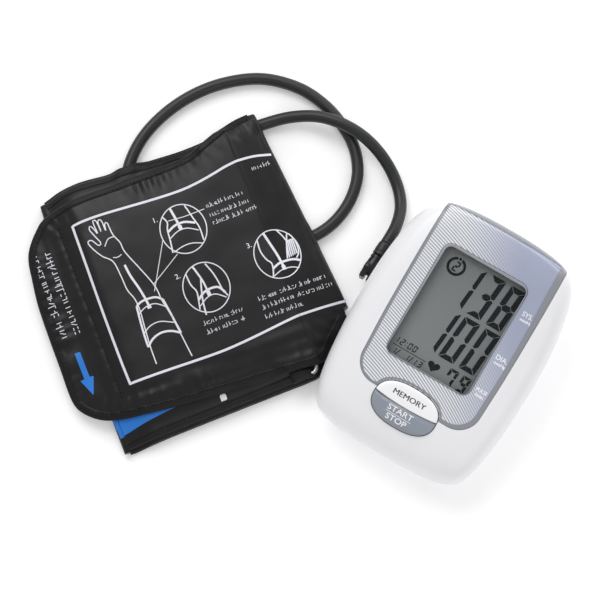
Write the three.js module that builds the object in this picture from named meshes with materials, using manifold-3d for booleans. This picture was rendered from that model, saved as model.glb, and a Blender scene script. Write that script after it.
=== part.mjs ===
// Upper arm blood pressure monitor: a wedge-shaped desk unit with a large
// display, an air plug and hose, and a fabric arm cuff rolled flat beside it.
// Millimetres, +Z up.  Origin: bottom centre of the unit and cuff together.
import * as THREE from 'three';
import { mergeVertices } from 'three/addons/utils/BufferGeometryUtils.js';
import Module from 'manifold-3d';

const wasm = await Module();
wasm.setup();

// ---------------------------------------------------------------- dimensions
const LAYOUT_X = 92.94, LAYOUT_Y = 35.62;   // desk unit centre, from the origin
const HALF_W = 54.6, HALF_L = 70.6;       // desk unit, plan half sizes
const BASE_Z = 1.2;                       // underside of the case above the feet
const PART_Z = 21, PART_SLOPE = 0.115;    // parting line height and its rise to the display end
const FACE_Z = 43, FACE_SLOPE = 0.18;     // face height and its rise to the display end
const WALL = 2.2;                         // case wall
const GAP = 0.3;                          // clearance between touching pieces
const PANEL_T = 1.2;                      // face panel thickness
const PANEL_HALF = 36.6, PANEL_MORE = 2.3, PANEL_END = -41.8, PANEL_R = 13;   // MORE: the panel reaches further to the right
const WIN_HW = 24.3, WIN_Y0 = -22.4, WIN_Y1 = 43.6, WIN_R = 3.6;  // display opening, face frame
const RIM = 1.7;                          // display rim width
const OVAL_HW = 19, OVAL_HL = 11.9, OVAL_Y = -45.6;               // push-button oval, face frame
const BUTTON_TRAVEL = 0.8;
const CELL_R = 7.1, CELL_L = 50, CELL_PITCH = 14.9, CELL_Z = 10.9, CELL_Y = 29.5;  // AA cells
const BAY_HW = 30.6, BAY_Y0 = 1.4, BAY_Y1 = 57.6, BAY_TOP = 19.2;
const DOOR_HW = 30.9, DOOR_Z1 = 3.0;
const PORT_Y = 18, PORT_Z = 12;           // air socket in the left side wall
const HOSE_R = 3.5;
const CUFF_ANGLE = 52.7;                  // cuff axes from the unit's axes, degrees
const CUFF_C_TOP = 10.6, CUFF_B0 = 11, CUFF_B1 = 14.1, CUFF_A0 = 14.5, CUFF_A1 = 18.2;  // heights of the three cuff layers

// ------------------------------------------------------------------- helpers
const mat = (color, roughness, metalness = 0) => new THREE.MeshStandardMaterial({ color, roughness, metalness });
const MAT = {
  white: mat(0xe6e6ea, 0.35), silver: mat(0xb9bcc6, 0.35, 0.2), rim: mat(0xa9abaf, 0.3, 0.2),
  glass: mat(0x9fa8a4, 0.05), lcd: mat(0x767c7a, 0.4), whiteKey: mat(0xf0f0f2, 0.35), greyKey: mat(0x8c939d, 0.4),
  board: mat(0x2f6b3f, 0.6), black: mat(0x161618, 0.4), blackGloss: mat(0x101012, 0.15), steel: mat(0xb8babd, 0.3, 1),
  rubber: mat(0x1c1c1e, 0.6), cell: mat(0x34363a, 0.35), nylon: mat(0x262628, 0.85), blue: mat(0x0b66b5, 0.8),
  greyRubber: mat(0x55575a, 0.8), clear: mat(0xd8dad8, 0.4), tan: mat(0xb7a58c, 0.7), hook: mat(0x1a1a1a, 0.9),
};

function solid(geometry, matrix) {
  const g = geometry.clone();
  if (matrix) g.applyMatrix4(matrix);
  g.deleteAttribute('normal'); g.deleteAttribute('uv');
  const m = mergeVertices(g.index ? g : g, 1e-4);
  return new wasm.Manifold(new wasm.Mesh({
    numProp: 3,
    vertProperties: new Float32Array(m.attributes.position.array),
    triVerts: new Uint32Array(m.index.array),
  }));
}
function geometryOf(manifold) {
  const m = manifold.getMesh();
  const g = new THREE.BufferGeometry();
  g.setAttribute('position', new THREE.BufferAttribute(new Float32Array(m.vertProperties), 3));
  g.setIndex(new THREE.BufferAttribute(new Uint32Array(m.triVerts), 1));
  g.computeVertexNormals();
  return g;
}
const move = (x, y, z) => new THREE.Matrix4().makeTranslation(x, y, z);
const box = (x0, x1, y0, y1, z0, z1) =>
  solid(new THREE.BoxGeometry(x1 - x0, y1 - y0, z1 - z0), move((x0 + x1) / 2, (y0 + y1) / 2, (z0 + z1) / 2));
const cylinder = (axis, a, b, r, p0, p1, seg = 16, r1 = r) => {
  const g = new THREE.CylinderGeometry(r1, r, p1 - p0, seg);
  const mid = (p0 + p1) / 2;
  if (axis === 'z') { g.rotateX(Math.PI / 2); g.translate(a, b, mid); }
  if (axis === 'x') { g.rotateZ(-Math.PI / 2); g.translate(mid, a, b); }
  if (axis === 'y') { g.translate(a, mid, b); }
  return solid(g);
};
const prism = (points, z0, z1) => {
  const g = new THREE.ExtrudeGeometry(new THREE.Shape(points.map(([x, y]) => new THREE.Vector2(x, y))),
    { depth: z1 - z0, bevelEnabled: false, steps: 1 });
  g.translate(0, 0, z0);
  return solid(g);
};
// A closed skin over a stack of equal-count rings, bottom to top, each wound anticlockwise.
function loft(rings, bottom, top) {
  const n = rings[0].length, position = [], index = [];
  rings.forEach((ring) => ring.forEach((p) => position.push(...p)));
  for (let k = 0; k + 1 < rings.length; k++) for (let i = 0; i < n; i++) {
    const a = k * n + i, b = k * n + (i + 1) % n, c = a + n, d = b + n;
    index.push(a, b, d, a, d, c);
  }
  const lo = position.length / 3; position.push(...bottom);
  const hi = lo + 1; position.push(...top);
  const last = (rings.length - 1) * n;
  for (let i = 0; i < n; i++) {
    index.push(lo, (i + 1) % n, i, hi, last + i, last + (i + 1) % n);
  }
  const g = new THREE.BufferGeometry();
  g.setAttribute('position', new THREE.BufferAttribute(new Float32Array(position), 3));
  g.setIndex(index);
  return new wasm.Manifold(new wasm.Mesh({
    numProp: 3, vertProperties: new Float32Array(position), triVerts: new Uint32Array(index),
  }));
}
const roundRect = (x0, x1, y0, y1, r, seg = 5) => {
  const out = [];
  [[x1 - r, y0 + r, -90], [x1 - r, y1 - r, 0], [x0 + r, y1 - r, 90], [x0 + r, y0 + r, 180]].forEach(([cx, cy, a]) => {
    for (let i = 0; i <= seg; i++) {
      const t = (a + 90 * i / seg) * Math.PI / 180;
      out.push([cx + r * Math.cos(t), cy + r * Math.sin(t)]);
    }
  });
  return out;
};
const oval = (hw, hl, cy, n = 40, p = 2.45) => Array.from({ length: n }, (_, i) => {
  const t = 2 * Math.PI * (i + 0.5) / n, c = Math.cos(t), s = Math.sin(t);
  return [Math.sign(c) * hw * Math.abs(c) ** (2 / p), cy + Math.sign(s) * hl * Math.abs(s) ** (2 / p)];
});

const group = new THREE.Group();
const unit = new THREE.Group();
unit.position.set(LAYOUT_X, LAYOUT_Y, 0);
const face = new THREE.Group();                 // face frame: x across, y up the face, z out of it
face.position.set(0, 0, FACE_Z);
face.rotation.set(Math.atan(FACE_SLOPE), 0, 0);
unit.add(face);
const cuff = new THREE.Group();                 // cuff frame: y along the arm
cuff.position.set(LAYOUT_X, LAYOUT_Y, 0);
cuff.rotation.set(0, 0, CUFF_ANGLE * Math.PI / 180);
group.add(unit, cuff);
face.updateMatrix();
const FACE = face.matrix.clone();
const add = (parent, name, manifold, material) => {
  const mesh = new THREE.Mesh(geometryOf(manifold), material);
  mesh.name = name;
  parent.add(mesh);
  return mesh;
};

// ------------------------------------------------------------- case outlines
const RIGHT = [[0, -70.5], [14, -70.3], [27, -69.4], [36.5, -67.8], [42.6, -65.1], [46.2, -61.6], [48.2, -57.2],
  [49.9, -51], [51.6, -42], [53.2, -28], [54.4, -8], [54.6, 10], [53.8, 26], [52, 40], [49.9, 50], [47.2, 57.6],
  [43.2, 63.2], [37, 67], [27, 69.2], [14, 70.3], [0, 70.6]];
const PLAN = [...RIGHT, ...RIGHT.slice(1, -1).reverse().map(([x, y]) => [-x, y])];
const partZ = (y) => PART_Z + PART_SLOPE * y;
const faceZ = (y) => FACE_Z + FACE_SLOPE * y;
const ring = (inset, z) => PLAN.map(([x, y]) => {
  const px = x * (HALF_W - inset) / HALF_W, py = y * (HALF_L - inset) / HALF_L;
  return [px, py, z(py)];
});
// Upper skin of the case, moved inwards and down by d.
const TOP_LEVELS = [[0, 0.05], [0.2, 0.3], [1.2, 0.55], [3.4, 0.76], [7, 0.9], [12, 0.965], [18, 1]];
function topSkin(d, below, coarse = false) {
  const rings = [];
  if (below === undefined) rings.push(ring(0.9, (y) => partZ(y) + GAP / 2));
  else rings.push(ring(d, (y) => partZ(y) - below));
  TOP_LEVELS.filter((_, k) => !coarse || k % 2 === 0).forEach(([inset, t]) => rings.push(ring(inset + d, (y) => partZ(y) + t * (faceZ(y) - partZ(y)) - d * t)));
  rings.push(ring(30 + d, (y) => faceZ(y) + 0.5 - d), ring(44 + d, (y) => faceZ(y) + 0.85 - d));
  const z0 = rings[0].reduce((s, p) => s + p[2], 0) / rings[0].length;
  return loft(rings, [0, 0, z0], [0, 0, FACE_Z + 1 - d]);
}
const LOW_LEVELS = [[8.4, 0.16], [4.6, 0.48], [1.9, 0.8]];
function lowSkin(d, above, coarse = false) {
  const rings = [ring(10.6 + d, () => BASE_Z + d), ring(9.2 + d, () => BASE_Z + d + 0.8)];
  LOW_LEVELS.filter((_, k) => !coarse || k === 1).forEach(([inset, t]) => rings.push(ring(inset + d, (y) => BASE_Z + t * (partZ(y) - BASE_Z) + d * (1 - t))));
  rings.push(ring(0.7 + d, (y) => partZ(y) - GAP / 2));
  if (above) rings.push(ring(0.7 + d, (y) => partZ(y) + above));
  return loft(rings, [0, 0, BASE_Z + d], [0, 0, PART_Z + (above || -GAP / 2)]);
}
const outerTop = topSkin(0), outerLow = lowSkin(0);

// ----------------------------------------------------- fasteners' positions
const SCREWS = [[-30, -55.5, 10], [30, -55.5, 10], [-36.8, 52, 17], [36.8, 52, 17]];   // x, y, height of the lower boss
const FEET = [[-35.5, -42], [35.5, -42], [-37.6, 36], [37.6, 36]];

// --------------------------------------------------------------- front cover
const panelPlan = (grow) => {
  const w = PANEL_HALF + grow, wr = w + PANEL_MORE, y0 = PANEL_END - grow, r = PANEL_R + grow;
  const pts = [];
  for (let i = 0; i <= 6; i++) {
    const t = (180 + 90 * i / 6) * Math.PI / 180;
    pts.push([-w + r + r * Math.cos(t) + 1.2, y0 + r + r * Math.sin(t)]);
  }
  for (let i = 0; i <= 6; i++) {
    const t = (270 + 90 * i / 6) * Math.PI / 180;
    pts.push([wr - r + r * Math.cos(t) - 1.2, y0 + r + r * Math.sin(t)]);
  }
  return [...pts, [wr - 0.3, -5], [wr, 20], [wr, 45], [wr - 0.8, 85], [-w + 0.8, 85], [-w, 45], [-w, 20], [-w + 0.3, -5]];
};
const PANEL_LOW = 43;                            // the panel laps over the display end down to here
const panelTool = (grow) => prism(panelPlan(grow), PANEL_LOW - 18 - grow, 80)
  .subtract(box(-60, 60, 55, 100, 0, PANEL_LOW - grow));
const windowTool = (grow, z0, z1) =>
  prism(roundRect(-WIN_HW - grow, WIN_HW + grow, WIN_Y0 - grow, WIN_Y1 + grow, WIN_R + grow), z0, z1).transform(FACE.elements);
const ovalTool = (grow, z0, z1) => prism(oval(OVAL_HW + grow, OVAL_HL + grow, OVAL_Y), z0, z1).transform(FACE.elements);

let front = outerTop.subtract(topSkin(WALL, 4, true));
for (const [x, y, h] of SCREWS) {
  front = front.add(cylinder('z', x, y, 3.1, h + GAP, faceZ(y) - 1.5, 12).intersect(topSkin(0.6, 20)));
}
front = front.subtract(panelTool(GAP).subtract(topSkin(PANEL_T + GAP, 4)))
  .subtract(windowTool(RIM + GAP, -12, 8))
  .subtract(ovalTool(GAP + 0.1, -12, 8));
for (const [x, y, h] of SCREWS) front = front.subtract(cylinder('z', x, y, 1.6, h - 1, h + 12, 12));
add(unit, 'front_cover', front, MAT.white);

const panel = outerTop.intersect(panelTool(0)).subtract(topSkin(PANEL_T, 4))
  .subtract(windowTool(RIM + GAP, -12, 8)).subtract(ovalTool(GAP + 0.1, -12, 8));
add(unit, 'face_panel', panel, MAT.silver);

// ---------------------------------------------------------------- rear cover
let rear = outerLow.subtract(lowSkin(WALL, 6, true));
rear = rear.add(box(-BAY_HW - 1.6, BAY_HW + 1.6, BAY_Y0 - 1.6, BAY_Y1 + 1.6, 2, BAY_TOP + 1.5).intersect(lowSkin(0, 30)));
for (const [x, y, h] of SCREWS) rear = rear.add(cylinder('z', x, y, 4, 2, h, 12).intersect(lowSkin(0, 30)));
rear = rear.subtract(box(-BAY_HW, BAY_HW, BAY_Y0, BAY_Y1, -5, BAY_TOP))
  .subtract(box(-DOOR_HW - GAP, DOOR_HW + GAP, BAY_Y0 - 1, 90, -5, DOOR_Z1 + GAP));
for (const [x, y, h] of SCREWS) rear = rear.subtract(cylinder('z', x, y, 3, -1, h - 4, 12)).subtract(cylinder('z', x, y, 1.7, h - 5, h + 1, 12));
for (const [x, y] of FEET) rear = rear.subtract(cylinder('z', x, y, 4.8, -1, 2.2, 16));
rear = rear.subtract(cylinder('x', PORT_Y, PORT_Z, 4.6, -60, -40, 16));
add(unit, 'rear_cover', rear, MAT.white);

// -------------------------------------------------------------- battery door
add(unit, 'battery_cover', outerLow.intersect(box(-DOOR_HW, DOOR_HW, BAY_Y0 - 0.7, 90, 0, DOOR_Z1))
  .subtract(box(-9, 9, 46, 47.2, 0, 2)).subtract(box(-9, 9, 49, 50.2, 0, 2)).subtract(box(-9, 9, 52, 53.2, 0, 2)), MAT.white);

// ------------------------------------------------------------- screws, feet
SCREWS.forEach(([x, y, h], i) => add(unit, `housing_screw_${i + 1}`,
  cylinder('z', x, y, 2.6, h - 6.3, h - 4.3, 12).add(cylinder('z', x, y, 1.25, h - 4.4, h + 9, 8))
    .subtract(box(x - 1.7, x + 1.7, y - 0.35, y + 0.35, h - 7, h - 5.3)), MAT.steel));
FEET.forEach(([x, y], i) => add(unit, `rubber_foot_${i + 1}`, cylinder('z', x, y, 4.1, 0, 1.9, 16, 4.5), MAT.greyRubber));

// ---------------------------------------------------------- cells, contacts
for (let i = 0; i < 4; i++) {
  const x = (i - 1.5) * CELL_PITCH, up = i % 2 === 0, y0 = CELL_Y - CELL_L / 2, y1 = CELL_Y + CELL_L / 2;
  const body = up ? [y0 + 0, y1 - 1.2] : [y0 + 1.2, y1];
  const nub = up ? [y1 - 1.3, y1 - 0.1] : [y0 + 0.1, y0 + 1.3];
  add(unit, `battery_cell_${i + 1}`, cylinder('y', x, CELL_Z, CELL_R, body[0], body[1], 16)
    .add(cylinder('y', x, CELL_Z, 2.6, nub[0], nub[1], 10)), MAT.cell);
  // A coned coil spring on the flat end of each cell.
  const turns = 2, steps = 16, pts = [];
  const s0 = up ? y0 - 0.75 : y1 + 0.75, s1 = up ? BAY_Y0 + 1.35 : BAY_Y1 - 1.35;
  for (let k = 0; k <= steps; k++) {
    const t = k / steps, a = turns * 2 * Math.PI * t, r = 2.2 + 2 * t;
    pts.push(new THREE.Vector3(x + r * Math.cos(a), s0 + (s1 - s0) * t, CELL_Z + r * Math.sin(a)));
  }
  const wire = new THREE.Shape(Array.from({ length: 5 }, (_, k) => new THREE.Vector2(0.32 * Math.cos(k * 1.2566), 0.32 * Math.sin(k * 1.2566))));
  add(unit, `battery_spring_${i + 1}`, solid(new THREE.ExtrudeGeometry(wire,
    { extrudePath: new THREE.CatmullRomCurve3(pts), steps, bevelEnabled: false })), MAT.steel);
}
add(unit, 'contact_plate_lower', box(-28.6, 28.6, BAY_Y0 + 0.3, BAY_Y0 + 0.8, 5, 17), MAT.steel);
add(unit, 'contact_plate_upper', box(-28.6, 28.6, BAY_Y1 - 0.8, BAY_Y1 - 0.3, 5, 17), MAT.steel);

// --------------------------------------------- display, board (face frame)
const rimOuter = prism(roundRect(-WIN_HW - RIM, WIN_HW + RIM, WIN_Y0 - RIM, WIN_Y1 + RIM, WIN_R + RIM), -2.2, 1.15);
const rimInner = prism(roundRect(-WIN_HW, WIN_HW, WIN_Y0, WIN_Y1, WIN_R), -5, 5);
add(face, 'display_rim', rimOuter.subtract(rimInner), MAT.rim);
add(face, 'display_window', prism(roundRect(-WIN_HW - RIM, WIN_HW + RIM, WIN_Y0 - RIM, WIN_Y1 + RIM, WIN_R), -3.7, -2.5), MAT.glass);
add(face, 'lcd_module', box(-26.6, 26.6, WIN_Y0 - 2.2, WIN_Y1 + 2.4, -6.6, -4), MAT.lcd);
const boardPlan = [[-38, -48], [-23, -48], [-23, -57.5], [23, -57.5], [23, -48], [38, -48], [38, 38], [33, 46], [-33, 46], [-38, 38]];
add(face, 'main_board', prism(boardPlan, -8.5, -6.9), MAT.board);
add(face, 'controller_chip', box(4, 16, -40, -28, -10.4, -8.8), MAT.black);
add(face, 'pressure_sensor', box(-34, -23, -36, -25, -12.4, -8.8).add(cylinder('z', -28.5, -30.5, 1.6, -16.4, -12.3, 10)), MAT.black);
add(face, 'buzzer', cylinder('z', 27, -34, 6, -13, -8.8, 20).subtract(cylinder('z', 27, -34, 1.2, -14, -11, 8)), MAT.black);

// --------------------------------------------------------------- push-buttons
const splitCurve = (offset) => {                   // bowed line between the two keys
  const pts = [];
  for (let i = 0; i <= 10; i++) { const x = -21 + 4.2 * i; pts.push([x, OVAL_Y + 1.2 - 1.3 * (1 - (x / 19) ** 2) + offset]); }
  return pts;
};
const upperHalf = (o) => prism([...splitCurve(o), [21, 0], [-21, 0]], -10, 10);
const lowerHalf = (o) => prism([[-21, -90], [21, -90], ...splitCurve(o).reverse()], -10, 10);
function key(half, offset) {
  const body = prism(oval(OVAL_HW, OVAL_HL, OVAL_Y), -3.3, 1.1)
    .add(prism(oval(OVAL_HW - 0.9, OVAL_HL - 0.9, OVAL_Y), 1.0, 1.8)).intersect(half(offset));
  const hollow = prism(oval(OVAL_HW - 1.8, OVAL_HL - 1.8, OVAL_Y), -4, 0).intersect(half(offset * 10));
  return body.subtract(hollow);
}
const MEMORY_Y = OVAL_Y + 5.8, START_Y = OVAL_Y - 5.2;
add(face, 'memory_button', key(upperHalf, 0.2).add(cylinder('z', 0, MEMORY_Y, 1.8, -3.3, 0.5, 12)), MAT.whiteKey);
add(face, 'start_stop_button', key(lowerHalf, -0.2).add(cylinder('z', 0, START_Y, 1.8, -3.3, 0.5, 12)), MAT.greyKey);
for (const [name, y] of [['memory_switch', MEMORY_Y], ['start_stop_switch', START_Y]]) {
  add(face, name, box(-3, 3, y - 3, y + 3, -6.6, -5).add(cylinder('z', 0, y, 1.5, -5.1, -3.3 - BUTTON_TRAVEL - 0.15, 12)), MAT.black);
}

// ----------------------------------------------------- air pump, valve, tubes
const PUMP_Y = -14, PUMP_Z = 15.4;
add(unit, 'pump_motor', cylinder('x', PUMP_Y, PUMP_Z, 11.4, -12, 20, 20)
  .add(cylinder('x', PUMP_Y, PUMP_Z, 4, 19.9, 21.6, 12)).subtract(cylinder('x', PUMP_Y, PUMP_Z, 1.4, -13, -2, 10)), MAT.steel);
add(unit, 'pump_head', prism(roundRect(-11, 11, -11, 11, 3, 3), 0, 20)
  .transform(new THREE.Matrix4().set(0, 0, 1, -32.3, 1, 0, 0, PUMP_Y, 0, 1, 0, PUMP_Z, 0, 0, 0, 1).elements)
  .subtract(cylinder('x', PUMP_Y, PUMP_Z, 8.6, -28, -10, 20))
  .add(cylinder('y', -30.4, PUMP_Z, 1.5, PUMP_Y - 12.6, PUMP_Y - 10.8, 10)), MAT.black);
add(unit, 'pump_rotor', cylinder('x', PUMP_Y, PUMP_Z, 1, -26, -4, 10)
  .add(cylinder('x', PUMP_Y + 1.2, PUMP_Z, 6, -22, -17, 16)), MAT.clear);
const VALVE_Y = -39, VALVE_Z = 12.4;
add(unit, 'release_valve', cylinder('x', VALVE_Y, VALVE_Z, 6.6, -28, -8, 16)
  .add(cylinder('x', VALVE_Y, VALVE_Z, 1.8, -33, -27.9, 10)).add(box(-8.1, -5, VALVE_Y - 3, VALVE_Y + 3, VALVE_Z - 3, VALVE_Z + 3)), MAT.steel);
const section = (r, n = 8, hole = 0) => {
  const s = new THREE.Shape(Array.from({ length: n }, (_, i) => new THREE.Vector2(r * Math.cos(2 * Math.PI * i / n), r * Math.sin(2 * Math.PI * i / n))));
  if (hole) s.holes.push(new THREE.Path(Array.from({ length: n }, (_, i) => new THREE.Vector2(hole * Math.cos(-2 * Math.PI * i / n), hole * Math.sin(-2 * Math.PI * i / n)))));
  return s;
};
const tube = (points, r, steps, n = 8, hole = 0) => solid(new THREE.ExtrudeGeometry(section(r, n, hole),
  { extrudePath: new THREE.CatmullRomCurve3(points.map((p) => new THREE.Vector3(...p)), false, 'centripetal'), steps, bevelEnabled: false }));
// Tee block: port side, pump side, valve side.
const TEE = [-40.6, -27];
add(unit, 'air_tee', box(TEE[0] - 3.6, TEE[0] + 3.6, TEE[1] - 5, TEE[1] + 5, 8.6, 16.2)
  .add(cylinder('y', TEE[0], 12.4, 1.6, TEE[1] + 4.9, TEE[1] + 8.5, 10)).subtract(cylinder('y', TEE[0], 12.4, 0.8, TEE[1] - 3, TEE[1] + 9, 8)), MAT.clear);
add(unit, 'air_tube_port', tube([[TEE[0], TEE[1] + 8.8, 12.4], [TEE[0], -10, 12.4], [TEE[0] - 0.2, 0, 12.2], [-41, 8.5, PORT_Z]], 2.4, 8, 8, 1.1), MAT.greyRubber);
add(unit, 'air_tube_pump', tube([[-30.4, -26.9, PUMP_Z], [-30.6, -28.6, 15.2], [-32.4, -30.4, 14.2], [-36.6, -30.2, 13]], 1.2, 8, 8), MAT.greyRubber);
add(unit, 'air_tube_valve', tube([[TEE[0] + 0.6, TEE[1] - 5.3, 12.4], [TEE[0] + 1.2, -35.5, 12.4], [-37.4, -38.6, 12.4], [-33.3, VALVE_Y, VALVE_Z]], 1.7, 8, 8), MAT.greyRubber);

// ------------------------------------------------------- air socket and plug
add(unit, 'air_port', cylinder('x', PORT_Y, PORT_Z, 4.2, -50.2, -37, 16)
  .add(cylinder('x', PORT_Y, PORT_Z, 5.2, -43, -41.6, 16))
  .subtract(cylinder('x', PORT_Y, PORT_Z, 2.6, -60, -40, 12))
  .add(cylinder('y', -41, PORT_Z, 1.6, 8.8, 15.5, 10)).subtract(cylinder('y', -41, PORT_Z, 0.8, 8, 18, 8)), MAT.greyRubber);

const PLUG_X = -57.5;
add(unit, 'air_plug', cylinder('x', PORT_Y, PORT_Z, 4.3, PLUG_X - 4.2, PLUG_X + 3.6, 16)
  .add(cylinder('x', PORT_Y, PORT_Z, 3.1, PLUG_X + 3, -50.6, 14))
  .add(cylinder('x', PORT_Y, PORT_Z, 2.2, -51, -40.6, 12))
  .add(cylinder('y', PLUG_X, PORT_Z, 2.8, PORT_Y, 26.6, 12))
  .add(box(PLUG_X - 4, PLUG_X - 0.6, 11, PORT_Y, PORT_Z - 3.2, PORT_Z + 3.2))
  .add(box(PLUG_X + 0.8, PLUG_X + 3.2, 10.4, PORT_Y, PORT_Z - 2.6, PORT_Z + 2.6)), MAT.blackGloss);
add(unit, 'hose_sleeve', cylinder('y', PLUG_X, PORT_Z, 4.1, 26.9, 35.2, 14, 3.8), MAT.rubber);

// ------------------------------------------------------------------ air hose
// Unit frame.  Leaves the plug, dips to the table, humps over its own loop,
// turns back under the cuff, loops round and ends at the cuff's air fitting.
const HOSE = [
  [-57.5, 35.5, 12], [-57.5, 41, 11.6], [-58.2, 48.5, 9.6], [-61.6, 59.5, 5.6], [-67.5, 68, 4.0], [-76, 75.2, 4.6],
  [-87.5, 80.9, 8.0], [-101, 84.2, 10.9], [-115.5, 84.4, 11.6], [-129.5, 81.6, 10.0], [-142.5, 75.2, 6.4],
  [-152.6, 66.6, 4.0], [-162, 54.5, 3.6], [-168.5, 38.5, 3.6], [-168.5, 21.5, 3.6], [-161.5, 5.5, 3.6],
  [-149, -5.2, 3.6], [-133, -8.0, 3.6], [-118.5, -3.5, 3.6], [-105.5, 8.2, 3.6], [-95.5, 21, 3.6], [-90.2, 34, 3.6],
  [-89.2, 49.5, 3.6], [-93.6, 65.2, 3.6], [-103.4, 77.8, 3.6], [-116, 85.8, 3.6], [-131, 91.2, 3.6], [-149, 92.6, 3.6],
  [-170.7, 86.6, 3.6], [-188.9, 72.6, 3.6], [-201.5, 55.6, 3.6], [-209.4, 36, 3.6], [-212, 18, 3.6], [-209.8, 1.5, 3.6],
  [-203, -14, 3.6], [-193, -27.5, 3.6], [-180.5, -39.5, 3.6], [-168.5, -49, 3.6], [-156, -58.6, 3.6],
];
add(unit, 'air_hose', tube(HOSE, HOSE_R, 50, 10), MAT.rubber);

// ---------------------------------------------------------------------- cuff
const rad = CUFF_ANGLE * Math.PI / 180, cA = Math.cos(rad), sA = Math.sin(rad);
const toCuff = ([x, y, z]) => [x * cA + y * sA, -x * sA + y * cA, z];
const A_PLAN = [[-203.4, 48.3], [-201.6, 42.7], [-196.4, 36.4], [-190.6, 32.3], [-185.4, 30.2], [-171.5, 26.8],
  [-147.9, 23.6], [-110, 20.4], [-85, 18.4], [-72.7, 17.2], [-30, 17], [-40.4, 52.4], [-42.7, 90.7], [-46.1, 142.5], [-47.6, 164.6],
  [-50.5, 166.6], [-61.4, 167], [-77, 162], [-95, 157], [-130, 156.4], [-170, 156], [-183.7, 152.8], [-187.8, 149.7], [-193.5, 143.8],
  [-197.3, 138.3], [-199.2, 133], [-200.6, 124], [-202.6, 108.5], [-203.2, 92], [-203.4, 70]];
const B_PLAN = [[-187, 11.4], [-184.4, 9.4], [-174.2, 10], [-160, 10.6], [-75.2, 10.9], [-30, 11], [-40.4, 52.4], [-42.7, 90.7],
  [-46.1, 142.5], [-47.6, 163], [-50.5, 165.4], [-75, 164.2], [-97.2, 164.2], [-112.9, 165.2], [-137.9, 166.2], [-155.5, 168],
  [-163, 167.8], [-170.6, 167], [-179, 165.7], [-182.6, 163.2], [-185, 120], [-186.4, 70], [-187.2, 30]];
const beyond = (limit) => {                        // everything nearer the unit than a line parallel to its side
  const p = (x, y) => toCuff([x, y, 0]).slice(0, 2);
  return prism([p(limit, -200), p(limit + 200, -200), p(limit + 200, 100), p(limit, 100)], -5, 40);
};
const layerA = prism(A_PLAN, CUFF_A0, CUFF_A1).subtract(beyond(-56));
const layerB = prism(B_PLAN, CUFF_B0, CUFF_B1).subtract(beyond(-54.6)).subtract(box(-84.5, 0, 0, 200, 5, 30));
const layerC = prism(B_PLAN, 0, CUFF_C_TOP).subtract(beyond(-51.4));
const foldRight = prism(B_PLAN, 5, 16).subtract(beyond(-56)).subtract(box(-230, -47.8, -10, 200, 0, 30));
const foldLeft = prism(B_PLAN, 5, 12).subtract(box(-183.6, 0, -10, 200, 0, 30));
const END = toCuff(HOSE[HOSE.length - 1]), BEFORE = toCuff(HOSE[HOSE.length - 2]);
const endLength = Math.hypot(END[0] - BEFORE[0], END[1] - BEFORE[1]);
const DIR = [(END[0] - BEFORE[0]) / endLength, (END[1] - BEFORE[1]) / endLength];
const along = (t) => [END[0] + DIR[0] * t, END[1] + DIR[1] * t, END[2]];
const HUB = along(12);
const channel = tube(HOSE.slice(9).map(toCuff).concat([along(8), along(12)]), 5, 44, 6);
const BLADDER = [-176, -62, 26, 150], POCKET = [8.8, 10.0];
const BAND = [-186.4, -122, 22, 33];
const HOOK = [-199, -160, 50, 140];
const RING = [-82, -69, 12, 161.6], RING_Z = [11.5, 13.5], RING_BAR = 2.5;
const ringLoop = box(-86, -78.2, 22, 155, CUFF_B0, CUFF_B1).subtract(box(RING[0] - GAP, RING[0] + RING_BAR + GAP, 0, 200, RING_Z[0] - 0.25, RING_Z[1] + 0.25));
const wrap = layerC.add(layerB).add(layerA).add(foldRight).add(foldLeft).add(ringLoop)
  .subtract(channel)
  .subtract(cylinder('z', HUB[0], HUB[1], 7.2, -1, 8.4, 16)).subtract(cylinder('z', HUB[0], HUB[1], 2.8, 8, 9, 10))
  .subtract(box(BLADDER[0] - GAP, BLADDER[1] + GAP, BLADDER[2] - GAP, BLADDER[3] + GAP, POCKET[0], POCKET[1]))
  .subtract(box(-125, -105, 140, 180, POCKET[0], POCKET[1]))
  .subtract(box(-200, BAND[1] + GAP, BAND[2] - GAP, BAND[3] + GAP, 13.3, 14.4))
  .subtract(box(HOOK[0] - GAP, HOOK[1] + GAP, HOOK[2] - GAP, HOOK[3] + GAP, 14.2, 15.5));
add(cuff, 'cuff_wrap', wrap, MAT.nylon);
add(cuff, 'cuff_bladder', box(BLADDER[0], BLADDER[1], BLADDER[2], BLADDER[3], POCKET[0] + GAP, POCKET[1] - GAP), MAT.tan);
add(cuff, 'index_band', box(BAND[0], BAND[1], BAND[2], BAND[3], 13.6, 14.1), MAT.blue);
add(cuff, 'hook_patch', box(HOOK[0], HOOK[1], HOOK[2], HOOK[3], 14.5, 15.2), MAT.hook);
add(cuff, 'd_ring', prism(roundRect(RING[0], RING[1], RING[2], RING[3], 4.5), RING_Z[0], RING_Z[1])
  .subtract(prism(roundRect(RING[0] + RING_BAR, RING[1] - RING_BAR, RING[2] + RING_BAR, RING[3] - RING_BAR, 2), 5, 20)), MAT.steel);
const nozzleAngle = Math.atan2(DIR[1], DIR[0]);
const nozzle = cylinder('x', 0, 0, 2.9, 0.3, 9, 12).transform(
  new THREE.Matrix4().makeTranslation(END[0], END[1], END[2]).multiply(new THREE.Matrix4().makeRotationZ(nozzleAngle)).elements);
add(cuff, 'cuff_air_fitting', cylinder('z', HUB[0], HUB[1], 6.6, 0.9, 8.1, 16).add(cylinder('z', HUB[0], HUB[1], 2.4, 8, 8.8, 10)).add(nozzle), MAT.rubber);

group.updateMatrixWorld(true);
export default group;
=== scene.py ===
# Upper arm blood pressure monitor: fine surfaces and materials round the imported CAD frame.
import math
import random

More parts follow.
